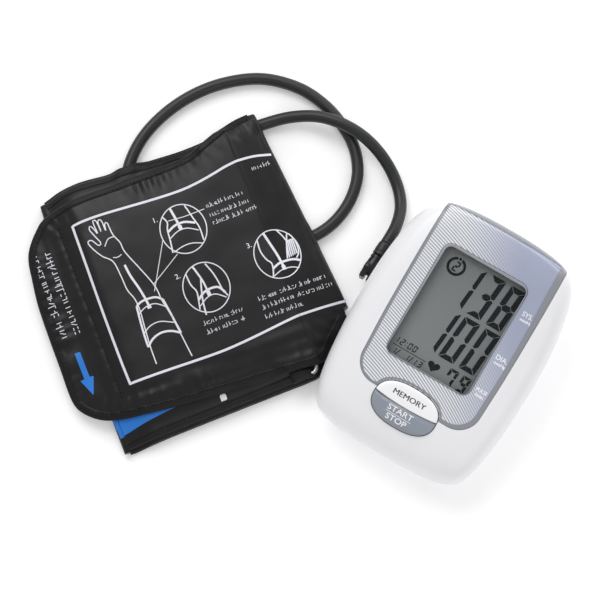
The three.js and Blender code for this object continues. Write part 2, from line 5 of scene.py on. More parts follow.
import bmesh
import bpy
import numpy as np
from mathutils import Matrix, Vector, noise
from mathutils.bvhtree import BVHTree
from mathutils.geometry import delaunay_2d_cdt


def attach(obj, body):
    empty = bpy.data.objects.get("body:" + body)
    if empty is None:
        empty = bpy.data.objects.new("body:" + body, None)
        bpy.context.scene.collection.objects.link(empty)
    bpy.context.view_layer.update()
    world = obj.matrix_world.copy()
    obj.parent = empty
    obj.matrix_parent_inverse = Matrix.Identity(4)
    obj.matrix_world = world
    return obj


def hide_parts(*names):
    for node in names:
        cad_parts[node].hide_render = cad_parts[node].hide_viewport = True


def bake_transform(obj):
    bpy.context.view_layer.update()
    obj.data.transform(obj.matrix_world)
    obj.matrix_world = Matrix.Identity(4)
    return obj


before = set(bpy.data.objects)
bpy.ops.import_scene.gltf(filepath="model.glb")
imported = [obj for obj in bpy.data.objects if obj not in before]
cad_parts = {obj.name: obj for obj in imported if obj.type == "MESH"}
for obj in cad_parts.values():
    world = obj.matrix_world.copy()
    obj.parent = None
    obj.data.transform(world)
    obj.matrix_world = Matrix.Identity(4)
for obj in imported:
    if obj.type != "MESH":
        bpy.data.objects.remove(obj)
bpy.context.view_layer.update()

random.seed(7)
RNG = np.random.default_rng(7)
MM = 0.001
ROOT = "monitor_and_cuff"

# ---------------------------------------------------------------- dimensions (mm), as the CAD has them
LX, LY = 92.94, 35.62
HALF_W, HALF_L, BASE_Z = 54.6, 70.6, 1.2
FACE_Z, FACE_SLOPE = 43.0, 0.18
WALL, GAP, PANEL_T = 2.2, 0.3, 1.2
PANEL_HALF, PANEL_MORE, PANEL_END, PANEL_R, PANEL_LOW = 36.6, 2.3, -41.8, 13.0, 43.0
WIN_HW, WIN_Y0, WIN_Y1, WIN_R, RIM = 24.3, -22.4, 43.6, 3.6, 1.7
OVAL_HW, OVAL_HL, OVAL_Y, OVAL_P = 19.0, 11.9, -45.6, 2.45
PORT_Y, PORT_Z, PLUG_X, HOSE_R = 18.0, 12.0, -57.5, 3.5
CUFF_ANGLE = math.radians(52.7)
CA, SA = math.cos(CUFF_ANGLE), math.sin(CUFF_ANGLE)
FACE_A = math.atan(FACE_SLOPE)
CF, SF = math.cos(FACE_A), math.sin(FACE_A)


def unit(p):                                  # monitor frame (mm) -> row frame (m)
    return ((p[0] + LX) * MM, (p[1] + LY) * MM, p[2] * MM)


def face_u(p):                                # face frame (mm) -> monitor frame (mm)
    return (p[0], p[1] * CF - p[2] * SF, FACE_Z + p[1] * SF + p[2] * CF)


def face(p):
    return unit(face_u(p))


def cuff(p):                                  # cuff frame (mm) -> row frame (m)
    return unit((p[0] * CA - p[1] * SA, p[0] * SA + p[1] * CA, p[2]))


def to_cuff(x, y):
    return x * CA + y * SA, -x * SA + y * CA


# ---------------------------------------------------------------- camera, light, floor
scene = bpy.context.scene
scene.view_settings.view_transform = "Standard"
cam_data = bpy.data.cameras.new("camera")
cam = bpy.data.objects.new("camera", cam_data)
scene.collection.objects.link(cam)
scene.camera = cam
AZ, EL, DIST = math.radians(31), math.radians(77), 1.0
target = Vector((8.94 * MM, 20.02 * MM, 0))
back = Vector((math.sin(AZ) * math.cos(EL), -math.cos(AZ) * math.cos(EL), math.sin(EL)))
cam.location = target + back * DIST
cam.rotation_mode = "QUATERNION"
cam.rotation_quaternion = (-back).to_track_quat("-Z", "Y")
cam_data.sensor_width = 36
cam_data.lens = 104.93
cam_data.clip_start, cam_data.clip_end = 0.01, 20


def area_light(name, loc, size, power, aim=(0, 0.02, 0.02), colour=(1, 1, 1)):
    d = bpy.data.lights.new(name, "AREA")
    d.shape = "RECTANGLE"
    d.size, d.size_y = size
    d.energy = power
    d.color = colour
    o = bpy.data.objects.new(name, d)
    scene.collection.objects.link(o)
    o.location = loc
    o.rotation_mode = "QUATERNION"
    o.rotation_quaternion = (Vector(aim) - Vector(loc)).to_track_quat("-Z", "Y")
    return o


area_light("key", (-0.75, 0.55, 1.15), (0.9, 0.9), 8.4)
area_light("fill", (0.95, -0.55, 0.9), (1.0, 1.0), 2.6)
area_light("strip", (0.1, 1.3, 0.55), (1.4, 0.35), 4.6)
world = bpy.data.worlds.new("studio")
scene.world = world
world.use_nodes = True
wn = world.node_tree
for n in list(wn.nodes):
    wn.nodes.remove(n)
w_out = wn.nodes.new("ShaderNodeOutputWorld")
w_bg = wn.nodes.new("ShaderNodeBackground")
w_bg.inputs["Color"].default_value = (1.0, 1.0, 1.0, 1)
w_bg.inputs["Strength"].default_value = 0.60
wn.links.new(w_bg.outputs[0], w_out.inputs[0])


# ---------------------------------------------------------------- materials
class Nodes:
    """Short hand for one material's node tree."""

    def __init__(self, name, **sockets):
        self.mat = bpy.data.materials.new(name)
        self.mat.use_nodes = True
        self.nt = self.mat.node_tree
        self.bsdf = self.nt.nodes["Principled BSDF"]
        for key, value in sockets.items():
            self.set(key.replace("_", " "), value)
        self.coord = None

    def set(self, key, value):
        s = self.bsdf.inputs[key]
        s.default_value = (*value, 1) if isinstance(value, tuple) and len(value) == 3 and s.type == "RGBA" else value

    def add(self, kind, **props):
        n = self.nt.nodes.new(kind)
        for k, v in props.items():
            setattr(n, k, v)
        return n

    def link(self, a, b):
        self.nt.links.new(a, b)

    def obj(self, scale=None, rot=0.0, loc=(0, 0, 0)):
        """Object coordinates, in metres, moved, turned about Z and scaled."""
        if self.coord is None:
            self.coord = self.add("ShaderNodeTexCoord")
        m = self.add("ShaderNodeMapping")
        m.vector_type = "TEXTURE" if False else "POINT"
        m.inputs["Location"].default_value = loc
        m.inputs["Rotation"].default_value = (0, 0, rot)
        if scale is not None:
            m.inputs["Scale"].default_value = scale if isinstance(scale, tuple) else (scale,) * 3
        self.link(self.coord.outputs["Object"], m.inputs["Vector"])
        return m.outputs["Vector"]

    def noise(self, scale, detail=3.0, rough=0.55, vec=None, distortion=0.0):
        n = self.add("ShaderNodeTexNoise")
        n.inputs["Scale"].default_value = scale
        n.inputs["Detail"].default_value = detail
        n.inputs["Roughness"].default_value = rough
        n.inputs["Distortion"].default_value = distortion
        self.link(vec if vec is not None else self.obj(), n.inputs["Vector"])
        return n.outputs["Fac"]

    def math(self, op, a, b=None, c=None, clamp=False):
        n = self.add("ShaderNodeMath", operation=op, use_clamp=clamp)
        for i, v in enumerate((a, b, c)):
            if v is None:
                continue
            if isinstance(v, (int, float)):
                n.inputs[i].default_value = v
            else:
                self.link(v, n.inputs[i])
        return n.outputs[0]

    def remap(self, v, a, b, c, d, smooth=False):
        n = self.add("ShaderNodeMapRange")
        n.interpolation_type = "SMOOTHSTEP" if smooth else "LINEAR"
        n.clamp = True
        self.link(v, n.inputs["Value"])
        for k, x in zip(("From Min", "From Max", "To Min", "To Max"), (a, b, c, d)):
            n.inputs[k].default_value = x
        return n.outputs["Result"]

    def ramp(self, v, stops):
        n = self.add("ShaderNodeValToRGB")
        el = n.color_ramp.elements
        while len(el) < len(stops):
            el.new(0.5)
        for e, (pos, col) in zip(el, stops):
            e.position = pos
            e.color = (*col, 1)
        self.link(v, n.inputs["Fac"])
        return n.outputs["Color"]

    def mix(self, f, a, b):
        n = self.add("ShaderNodeMix", data_type="RGBA")
        for sock, v in ((n.inputs[0], f), (n.inputs[6], a), (n.inputs[7], b)):
            if isinstance(v, (int, float)):
                sock.default_value = v
            elif isinstance(v, tuple):
                sock.default_value = (*v, 1)
            else:
                self.link(v, sock)
        return n.outputs[2]

    def to(self, out, key):
        self.link(out, self.bsdf.inputs[key])

    def bump(self, height, strength, distance, under=None):
        n = self.add("ShaderNodeBump")
        n.inputs["Strength"].default_value = strength
        n.inputs["Distance"].default_value = distance
        self.link(height, n.inputs["Height"])
        if under is not None:
            self.link(under, n.inputs["Normal"])
        self.link(n.outputs[0], self.bsdf.inputs["Normal"])
        return n.outputs[0]


def srgb(r, g, b):
    def f(c):
        c = c / 255
        return c / 12.92 if c <= 0.04045 else ((c + 0.055) / 1.055) ** 2.4
    return (f(r), f(g), f(b))


def moulded(name, colour, rough, grain=2600, depth=0.000012, vary=0.04, coat=0.0, **kw):
    """Injection-moulded plastic: a fine spark-eroded grain, faint flow shading and a roughness that wanders."""
    m = Nodes(name, Metallic=0.0, **kw)
    big = m.noise(28, 2)
    dark = tuple(c * (1 - vary) for c in colour)
    light = tuple(min(1, c * (1 + vary)) for c in colour)
    m.to(m.mix(m.remap(big, 0.35, 0.65, 0, 1), dark, light), "Base Color")
    fine = m.noise(grain, 2, 0.6)
    m.to(m.remap(m.noise(160, 3), 0.3, 0.7, rough * 0.88, rough * 1.14), "Roughness")
    m.bump(fine, 0.5, depth)
    if coat:
        m.set("Coat Weight", coat)
        m.set("Coat Roughness", 0.12)
    return m.mat


def brushed(name, colour, rough, stretch=(60, 1500, 1500), depth=0.00001):
    m = Nodes(name, Metallic=1.0)
    lines = m.noise(1.0, 3, 0.6, m.obj(stretch))
    m.to(m.mix(m.remap(lines, 0.3, 0.7, 0, 1), tuple(c * 0.86 for c in colour), colour), "Base Color")
    m.to(m.remap(lines, 0.2, 0.8, rough * 0.75, rough * 1.3), "Roughness")
    m.bump(lines, 0.4, depth)
    return m.mat


def rubbery(name, colour, rough, grain=1500, depth=0.00003, sheen=0.15):
    m = Nodes(name, Metallic=0.0)
    m.set("Sheen Weight", sheen)
    m.set("Sheen Roughness", 0.4)
    n = m.noise(grain, 4, 0.65)
    w = m.noise(55, 3)
    m.to(m.mix(m.remap(w, 0.3, 0.7, 0, 1), tuple(c * 0.82 for c in colour), tuple(c * 1.18 for c in colour)), "Base Color")
    m.to(m.remap(w, 0.3, 0.7, rough * 0.9, min(1, rough * 1.12)), "Roughness")
    m.bump(n, 0.5, depth)
    return m.mat


def woven(name, colour, thread=0.00042, rough=0.62, sheen=0.25, depth=0.00003, vary=0.16, angle=CUFF_ANGLE, spec=0.5):
    """Plain-weave nylon: crossed threads, a slow change of tone, and a soft sheen."""
    m = Nodes(name, Metallic=0.0)
    m.set("Sheen Weight", sheen)
    m.set("Sheen Roughness", 0.35)
    m.set("Specular IOR Level", spec)
    vec = m.obj(rot=-angle)
    sep = m.add("ShaderNodeSeparateXYZ")
    m.link(vec, sep.inputs[0])
    k = 2 * math.pi / (thread * 2)
    x = m.math("SINE", m.math("MULTIPLY", sep.outputs[0], k))
    y = m.math("SINE", m.math("MULTIPLY", sep.outputs[1], k))
    weave = m.math("MULTIPLY", x, y)
    fuzz = m.noise(2200, 3, 0.6)
    height = m.math("ADD", m.math("MULTIPLY", weave, 0.5), m.math("MULTIPLY", fuzz, 0.7))
    slow = m.noise(22, 4, 0.55)
    tone = m.math("ADD", m.math("MULTIPLY", weave, 0.10), slow)
    m.to(m.mix(m.remap(tone, 0.25, 0.75, 0, 1), tuple(c * (1 - vary) for c in colour), tuple(c * (1 + vary) for c in colour)), "Base Color")
    m.to(m.remap(m.noise(90, 3), 0.3, 0.7, rough * 0.86, min(1, rough * 1.14)), "Roughness")
    m.bump(height, 0.6, depth)
    return m.mat


WHITE = moulded("case white plastic", srgb(238, 238, 241), 0.33, grain=1900, depth=0.000010, vary=0.012, coat=0.12)
KEY_WHITE = moulded("key white plastic", srgb(246, 246, 248), 0.28, vary=0.01, coat=0.2)
KEY_GREY = moulded("key grey plastic", srgb(140, 147, 157), 0.34, vary=0.03, coat=0.1)
BORDER = moulded("panel border grey", srgb(138, 141, 149), 0.3, vary=0.03, coat=0.3)
RIM_GREY = moulded("display rim grey", srgb(150, 153, 160), 0.3, vary=0.03, coat=0.3)
# darker grey for the rim's inner wall: painted shade in the display's recess
RIM_PAINTED_SHADE = moulded("display rim inside painted shade", srgb(70, 72, 76), 0.4, vary=0.05)
BLACK = moulded("moulded black plastic", srgb(30, 30, 32), 0.36, vary=0.1)
GLOSS_BLACK = moulded("glossy black plastic", srgb(9, 9, 11), 0.26, grain=900, depth=0.000006, vary=0.1, coat=0.12)
GLOSS_BLACK.node_tree.nodes["Principled BSDF"].inputs["Specular IOR Level"].default_value = 0.35
INK_WHITE = moulded("white print ink", srgb(222, 222, 230), 0.5, grain=3000, vary=0.05)
INK_GREY = moulded("dark grey print ink", srgb(70, 71, 76), 0.45, grain=3000, vary=0.05)
INK_LABEL = moulded("panel white ink", srgb(240, 240, 245), 0.4, grain=3000, vary=0.02)
LCD_DARK = moulded("display segment", srgb(36, 39, 43), 0.6, grain=3000, vary=0.03)
LCD_DARK.node_tree.nodes["Principled BSDF"].inputs["Specular IOR Level"].default_value = 0.08
ACETAL = moulded("white acetal", srgb(216, 218, 216), 0.4, vary=0.03)
HOSE = rubbery("black hose rubber", srgb(22, 23, 25), 0.42, grain=1100, depth=0.00002, sheen=0.06)
FOOT = rubbery("foot rubber", srgb(84, 86, 90), 0.78)
TUBE = rubbery("inner tube rubber", srgb(96, 97, 100), 0.6)
BLADDER = rubbery("bladder rubber", srgb(180, 164, 138), 0.7)
PORT = moulded("socket grey plastic", srgb(92, 94, 97), 0.45)
STEEL = brushed("bright steel", srgb(196, 198, 202), 0.24)
SPRING = brushed("spring steel", srgb(186, 188, 192), 0.28, stretch=(900, 900, 900))
MOTOR = brushed("motor can steel", srgb(170, 172, 176), 0.34, stretch=(80, 900, 900))
NYLON = woven("cuff nylon", srgb(19, 19, 21), rough=0.36, sheen=0.02, depth=0.000018, vary=0.12, spec=0.3)
BINDING = woven("binding tape", srgb(10, 10, 12), thread=0.0006, rough=0.5, sheen=0.03, depth=0.00006, spec=0.28)
THREAD = woven("sewing thread", srgb(8, 8, 10), thread=0.0003, rough=0.6, sheen=0.0, spec=0.15)
BLUE = woven("index band blue", srgb(18, 116, 208), rough=0.5, sheen=0.12, depth=0.00002, vary=0.1)
HOOK = rubbery("hook tape", srgb(26, 26, 28), 0.9, grain=900, depth=0.0006, sheen=0.5)


def panel_material():
    """Silver overlay with fine sloping lines at its left and foot, fading to lavender at the upper right."""
    m = Nodes("face panel silver", Metallic=0.0)
    m.set("Coat Weight", 0.35)
    m.set("Coat Roughness", 0.14)
    vec = m.obj(1000.0, loc=(-LX, -LY, 0))                # monitor frame, mm
    sep = m.add("ShaderNodeSeparateXYZ")
    m.link(vec, sep.inputs[0])
    x, y = sep.outputs[0], sep.outputs[1]
    bow = m.math("ADD", m.math("MULTIPLY", x, 0.47), m.math("MULTIPLY", m.math("MULTIPLY", x, x), 0.0024))
    line = m.math("SINE", m.math("MULTIPLY", m.math("ADD", y, bow), 2 * math.pi / 1.52))
    line = m.remap(line, -0.75, 0.75, 0, 1)
    hatch = m.mix(line, srgb(158, 161, 169), srgb(238, 239, 243))
    across = m.math("ADD", x, m.math("MULTIPLY", y, 0.45))
    fade = m.remap(across, -2, 44, 0, 1, smooth=True)
    drift = m.noise(18, 2)
    lav = m.mix(m.remap(drift, 0.3, 0.7, 0, 1), srgb(155, 161, 184), srgb(165, 171, 193))
    m.to(m.mix(fade, hatch, lav), "Base Color")
    m.to(m.remap(m.noise(140, 3), 0.3, 0.7, 0.26, 0.34), "Roughness")
    m.bump(m.noise(2600, 2), 0.4, 0.000008)
    return m.mat


def lcd_material():
    m = Nodes("display glass grey with painted shade", Metallic=0.0)
    vec = m.obj(1000.0, loc=(-LX, -LY, 0))
    sep = m.add("ShaderNodeSeparateXYZ")
    m.link(vec, sep.inputs[0])
    # the grey is painted darker towards the upper right: painted shade where the rim's shadow falls on the display
    tone = m.math("ADD", m.math("MULTIPLY", sep.outputs[1], 0.006), m.math("MULTIPLY", sep.outputs[0], 0.006))
    tone = m.math("ADD", tone, m.noise(14, 2))
    m.to(m.mix(m.remap(tone, 0.1, 0.95, 0, 1), srgb(142, 146, 146), srgb(121, 125, 125)), "Base Color")
    m.to(m.remap(m.noise(200, 2), 0.3, 0.7, 0.42, 0.52), "Roughness")
    m.bump(m.noise(3000, 2), 0.3, 0.000004)
    return m.mat


def window_material():
    m = Nodes("clear display window", Metallic=0.0, IOR=1.49)
    m.set("Alpha", 0.06)
    m.to(m.remap(m.noise(60, 3), 0.3, 0.7, 0.03, 0.07), "Roughness")
    m.to(m.mix(m.noise(30, 2), srgb(22, 24, 24), srgb(28, 30, 30)), "Base Color")
    m.mat.surface_render_method = "BLENDED"
    return m.mat


def board_material():
    m = Nodes("green board", Metallic=0.0)
    v = m.add("ShaderNodeTexVoronoi", feature="DISTANCE_TO_EDGE")
    v.inputs["Scale"].default_value = 260
    m.link(m.obj(), v.inputs["Vector"])
    m.to(m.mix(m.remap(v.outputs["Distance"], 0.02, 0.06, 0, 1), srgb(120, 150, 90), srgb(38, 96, 56)), "Base Color")
    m.to(m.remap(m.noise(120, 3), 0.3, 0.7, 0.35, 0.5), "Roughness")
    m.bump(m.noise(800, 2), 0.4, 0.00002)
    return m.mat


def cell_material():
    m = Nodes("cell jacket", Metallic=0.6)
    vec = m.obj(1000.0, loc=(-LX, -LY, 0))
    sep = m.add("ShaderNodeSeparateXYZ")
    m.link(vec, sep.inputs[0])
    band = m.remap(sep.outputs[1], 40, 41, 0, 1)
    m.to(m.mix(band, srgb(44, 46, 52), srgb(176, 132, 74)), "Base Color")
    m.to(m.remap(m.noise(160, 3), 0.3, 0.7, 0.28, 0.4), "Roughness")
    m.bump(m.noise(900, 2), 0.3, 0.00001)
    return m.mat


def floor_material():
    m = Nodes("studio floor", Metallic=0.0)
    m.set("Specular IOR Level", 0.1)
    m.to(m.mix(m.noise(4, 2), srgb(252, 252, 253), srgb(255, 255, 255)), "Base Color")
    m.to(m.remap(m.noise(60, 2), 0.3, 0.7, 0.8, 0.95), "Roughness")
    m.set("Emission Color", (1.0, 1.0, 1.0))
    m.set("Emission Strength", 0.16)
    return m.mat


PANEL, LCD, WINDOW, BOARD, CELL = panel_material(), lcd_material(), window_material(), board_material(), cell_material()


# ---------------------------------------------------------------- mesh helpers
def make(name, verts, faces, mats, smooth=40, body=ROOT, replaces=(), index=None, ride=True):
    me = bpy.data.meshes.new(name)
    me.from_pydata([tuple(map(float, v)) for v in verts], [], [tuple(int(i) for i in f) for f in faces])
    me.validate(verbose=False)
    for m in (mats if isinstance(mats, (list, tuple)) else [mats]):
        me.materials.append(m)
    if index is not None and len(index) == len(me.polygons):
        me.polygons.foreach_set("material_index", [int(i) for i in index])
    if smooth:
        me.polygons.foreach_set("use_smooth", [True] * len(me.polygons))
        me.set_sharp_from_angle(angle=math.radians(smooth))
    me.update()
    o = bpy.data.objects.new(name, me)
    scene.collection.objects.link(o)
    if ride:
        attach(o, body)
    if replaces:
        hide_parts(*([replaces] if isinstance(replaces, str) else replaces))
    return o


def outward(verts, faces):
    """Flips the faces if the closed mesh is inside out."""
    v = np.asarray(verts, float)
    vol = 0.0
    for f in faces:
        for i in range(1, len(f) - 1):
            a, b, c = v[f[0]], v[f[i]], v[f[i + 1]]
            vol += np.dot(a, np.cross(b, c))
    return faces if vol > 0 else [tuple(reversed(f)) for f in faces]


def merge(*parts):
    verts, faces, index = [], [], []
    for k, part in enumerate(parts):
        base = len(verts)
        verts += [tuple(v) for v in part[0]]
        faces += [tuple(i + base for i in f) for f in part[1]]
        index += [part[2] if len(part) > 2 else 0] * len(part[1])
    return verts, faces, index


def catmull(points, per, closed=False, alpha=0.5):
    """Centripetal Catmull-Rom through the points, per samples on each span."""
    p = [np.array(q, float) for q in points]
    n = len(p)
    out = []
    spans = n if closed else n - 1
    for i in range(spans):
        p1, p2 = p[i % n], p[(i + 1) % n]
        p0 = p[(i - 1) % n] if closed or i > 0 else 2 * p1 - p2
        p3 = p[(i + 2) % n] if closed or i + 2 < n else 2 * p2 - p1
        d = [max(np.linalg.norm(b - a) ** alpha, 1e-4) for a, b in ((p0, p1), (p1, p2), (p2, p3))]
        t0, t1 = 0, d[0]
        t2 = t1 + d[1]
        t3 = t2 + d[2]
        for k in range(per):
            t = t1 + (t2 - t1) * k / per
            a1 = (t1 - t) / (t1 - t0) * p0 + (t - t0) / (t1 - t0) * p1
            a2 = (t2 - t) / (t2 - t1) * p1 + (t - t1) / (t2 - t1) * p2
            a3 = (t3 - t) / (t3 - t2) * p2 + (t - t2) / (t3 - t2) * p3
            b1 = (t2 - t) / (t2 - t0) * a1 + (t - t0) / (t2 - t0) * a2
            b2 = (t3 - t) / (t3 - t1) * a2 + (t - t1) / (t3 - t1) * a3
            out.append((t2 - t) / (t2 - t1) * b1 + (t - t1) / (t2 - t1) * b2)
    if not closed:
        out.append(p[-1])
    return np.array(out)


def resample(poly, n, closed=True):
    p = np.asarray(poly, float)
    q = np.vstack([p, p[:1]]) if closed else p
    s = np.concatenate([[0], np.cumsum(np.linalg.norm(np.diff(q, axis=0), axis=1))])
    t = np.linspace(0, s[-1], n, endpoint=not closed)
    return np.stack([np.interp(t, s, q[:, k]) for k in range(q.shape[1])], axis=1)


def loft(rings, bottom=None, top=None):
    n = len(rings[0])
    verts = [tuple(p) for r in rings for p in r]
    faces = []
    for k in range(len(rings) - 1):
        for i in range(n):
            a, b = k * n + i, k * n + (i + 1) % n
            faces.append((a, b, b + n, a + n))
    if bottom is not None:
        lo = len(verts)
        verts.append(tuple(bottom))
        faces += [(lo, (i + 1) % n, i) for i in range(n)]
    else:
        faces.append(tuple(reversed(range(n))))
    last = (len(rings) - 1) * n
    if top is not None:
        hi = len(verts)
        verts.append(tuple(top))
        faces += [(hi, last + i, last + (i + 1) % n) for i in range(n)]
    else:
        faces.append(tuple(last + i for i in range(n)))
    return verts, faces


def prism(poly, z0, z1, frame_of=None):
    n = len(poly)
    v = [(x, y, z0) for x, y in poly] + [(x, y, z1) for x, y in poly]
    f = [tuple(reversed(range(n))), tuple(range(n, 2 * n))] + [(i, (i + 1) % n, (i + 1) % n + n, i + n) for i in range(n)]
    if frame_of:
        v = [frame_of(p) for p in v]
    return v, outward(v, f)


def box_mesh(x0, x1, y0, y1, z0, z1):
    return prism([(x0, y0), (x1, y0), (x1, y1), (x0, y1)], z0, z1)


def lathe(profile, centre, axis, seg=40):
    """A turned piece: profile of (radius, height) from the axis to the axis, along axis x, y or z (mm, monitor frame)."""
    v, f = [], []
    rows = []
    for r, h in profile:
        if r < 1e-6:
            rows.append([len(v)])
            v.append((0, 0, h))
        else:
            rows.append(list(range(len(v), len(v) + seg)))
            v += [(r * math.cos(2 * math.pi * i / seg), r * math.sin(2 * math.pi * i / seg), h) for i in range(seg)]
    for a, b in zip(rows, rows[1:]):
        for i in range(seg):
            j = (i + 1) % seg
            if len(a) == 1 and len(b) == 1:
                continue
            if len(a) == 1:
                f.append((a[0], b[j], b[i]))
            elif len(b) == 1:
                f.append((a[i], a[j], b[0]))
            else:
                f.append((a[i], a[j], b[j], b[i]))
    cx, cy, cz = centre
    if axis == "z":
        v = [(x + cx, y + cy, z + cz) for x, y, z in v]
    elif axis == "x":
        v = [(z + cx, x + cy, y + cz) for x, y, z in v]
    else:
        v = [(y + cx, z + cy, x + cz) for x, y, z in v]
    return v, outward(v, f)


def round_rect(x0, x1, y0, y1, r, seg=8):
    out = []
    for cx, cy, a in ((x1 - r, y0 + r, -90), (x1 - r, y1 - r, 0), (x0 + r, y1 - r, 90), (x0 + r, y0 + r, 180)):
        for i in range(seg + 1):
            t = math.radians(a + 90 * i / seg)
            out.append((cx + r * math.cos(t), cy + r * math.sin(t)))
    return out


def oval(hw, hl, cy, n=120, p=OVAL_P):
    out = []
    for i in range(n):
        t = 2 * math.pi * (i + 0.5) / n
        c, s = math.cos(t), math.sin(t)
        out.append((math.copysign(hw * abs(c) ** (2 / p), c), cy + math.copysign(hl * abs(s) ** (2 / p), s)))
    return out


def seg_distance(pts, poly, closed=True):
    """Distance of each point from a polyline."""
    pts = np.asarray(pts, float)[:, :2]
    a = np.asarray(poly, float)[:, :2]
    b = np.roll(a, -1, axis=0) if closed else a[1:]
    a = a if closed else a[:-1]
    best = np.full(len(pts), 1e9)
    for p, q in zip(a, b):
        d = q - p
        t = np.clip(((pts - p) @ d) / max(d @ d, 1e-12), 0, 1)
        best = np.minimum(best, np.linalg.norm(pts - (p + t[:, None] * d), axis=1))
    return best


def inside(pts, poly):
    pts = np.asarray(pts, float)
    x, y = pts[:, 0], pts[:, 1]
    p = np.asarray(poly, float)
    res = np.zeros(len(pts), bool)
    for (x0, y0), (x1, y1) in zip(p[:, :2], np.roll(p, -1, axis=0)[:, :2]):
        hit = ((y0 > y) != (y1 > y))
        with np.errstate(divide="ignore", invalid="ignore"):
            xi = x0 + (y - y0) * (x1 - x0) / (y1 - y0 if y1 != y0 else 1e-12)
        res ^= hit & (x < xi)
    return res


def pillow(poly, top, bottom, grid=1.0, rings=(0.15, 0.4, 0.8, 1.3), frame_of=unit):
    """A closed piece over a plan outline: top(x, y, d) and bottom(x, y, d) give heights, d being the distance in from the edge."""
    poly = np.asarray(poly, float)
    lo, hi = poly.min(0), poly.max(0)
    gx, gy = np.meshgrid(np.arange(lo[0] + grid * 0.4, hi[0], grid), np.arange(lo[1] + grid * 0.4, hi[1], grid * 0.87))
    gx = gx + (np.arange(gx.shape[0]) % 2)[:, None] * grid * 0.5
    cand = np.stack([gx.ravel(), gy.ravel()], 1)
    cand = cand[inside(cand, poly)]
    cand = cand[seg_distance(cand, poly) > (max(rings) if rings else 0) + grid * 0.4]
    nxt, prv = np.roll(poly, -1, 0), np.roll(poly, 1, 0)
    tan = nxt - prv
    tan /= np.maximum(np.linalg.norm(tan, axis=1, keepdims=True), 1e-9)
    area = 0.5 * np.sum(poly[:, 0] * nxt[:, 1] - nxt[:, 0] * poly[:, 1])
    nrm = np.stack([-tan[:, 1], tan[:, 0]], 1) * (1 if area > 0 else -1)
    extra = []
    for r in rings:
        q = poly + nrm * r
        ok = inside(q, poly) & (seg_distance(q, poly) > r * 0.96)
        extra.append(q[ok])
    pts = np.vstack([poly] + extra + [cand])
    n = len(poly)
    vs, _, fs, orig, _, _ = delaunay_2d_cdt([Vector(p) for p in pts], [], [list(range(n))] if area > 0 else [list(reversed(range(n)))], 1, 1e-6)
    v2 = np.array([tuple(v) for v in vs])
    d = seg_distance(v2, poly)
    rim = set()
    for k, o in enumerate(orig):
        if any(i < n for i in o):
            rim.add(k)
    zt, zb = top(v2[:, 0], v2[:, 1], d), bottom(v2[:, 0], v2[:, 1], d)
    m = len(v2)
    verts = [(x, y, z) for (x, y), z in zip(v2, zt)] + [(x, y, z) for (x, y), z in zip(v2, zb)]
    faces = [tuple(f) for f in fs] + [tuple(i + m for i in reversed(f)) for f in fs]
    count = {}
    for f in fs:
        for i, j in zip(f, list(f[1:]) + [f[0]]):
            count[(i, j)] = count.get((i, j), 0) + 1
    for (i, j) in list(count):
        if (j, i) not in count:
            faces.append((i, i + m, j + m, j))
    faces = outward(verts, faces)
    return [frame_of(p) if frame_of else p for p in verts], faces


def sweep_ring(path, profile):
    """A closed moulding: profile of (distance out from the path, height), all the way round a closed plan path."""
    p = np.asarray(path, float)
    tan = np.roll(p, -1, 0) - np.roll(p, 1, 0)
    tan /= np.linalg.norm(tan, axis=1, keepdims=True)
    nrm = np.stack([tan[:, 1], -tan[:, 0]], 1)
    n, k = len(p), len(profile)
    verts, faces = [], []
    for (x, y), (nx, ny) in zip(p, nrm):
        for off, z in profile:
            verts.append((x + nx * off, y + ny * off, z))
    for i in range(n):
        for j in range(k):
            a, b = i * k + j, i * k + (j + 1) % k
            c, d = ((i + 1) % n) * k + (j + 1) % k, ((i + 1) % n) * k + j
            faces.append((a, b, c, d))
    return verts, outward(verts, faces)


def tube_mesh(points, radius, seg=24, caps=True):
    """A round tube along points (any frame), with parallel-transported sections."""
    p = [Vector(q) for q in points]
    n = len(p)
    tang = [(p[min(i + 1, n - 1)] - p[max(i - 1, 0)]).normalized() for i in range(n)]
    ref = Vector((0, 0, 1)) if abs(tang[0].z) < 0.9 else Vector((1, 0, 0))
    side = tang[0].cross(ref).normalized()
    verts, faces = [], []
    for i in range(n):
        if i:
            q = tang[i - 1].rotation_difference(tang[i])
            side = (q @ side).normalized()
        up = side.cross(tang[i]).normalized()
        r = radius(i / (n - 1)) if callable(radius) else radius
        for k in range(seg):
            a = 2 * math.pi * k / seg
            verts.append(tuple(p[i] + side * (r * math.cos(a)) + up * (r * math.sin(a))))
    for i in range(n - 1):
        for k in range(seg):
            a, b = i * seg + k, i * seg + (k + 1) % seg
            faces.append((a, b, b + seg, a + seg))
    if caps:
        faces.append(tuple(reversed(range(seg))))
        faces.append(tuple(range((n - 1) * seg, n * seg)))
    return verts, outward(verts, faces)


def temp(part, name="cutter"):
    me = bpy.data.meshes.new(name)
    me.from_pydata([tuple(v) for v in part[0]], [], [tuple(f) for f in part[1]])
    me.update()
    o = bpy.data.objects.new(name, me)
    scene.collection.objects.link(o)
    return o


def csg(a, b, op, solver="MANIFOLD"):
    """a becomes a (op) b; b is removed. Millimetre meshes, with no parent."""
    before = len(a.data.polygons)
    for s in (solver, "EXACT"):
        mod = a.modifiers.new("cut", "BOOLEAN")
        mod.operation, mod.object, mod.solver = op, b, s
        dg = bpy.context.evaluated_depsgraph_get()
        me = bpy.data.meshes.new_from_object(a.evaluated_get(dg))
        a.modifiers.clear()
        if len(me.polygons) > 3 and not (len(me.polygons) == before and op == "DIFFERENCE" and s == "MANIFOLD"):
            break
    a.data = me
    bpy.data.objects.remove(b)
    return a


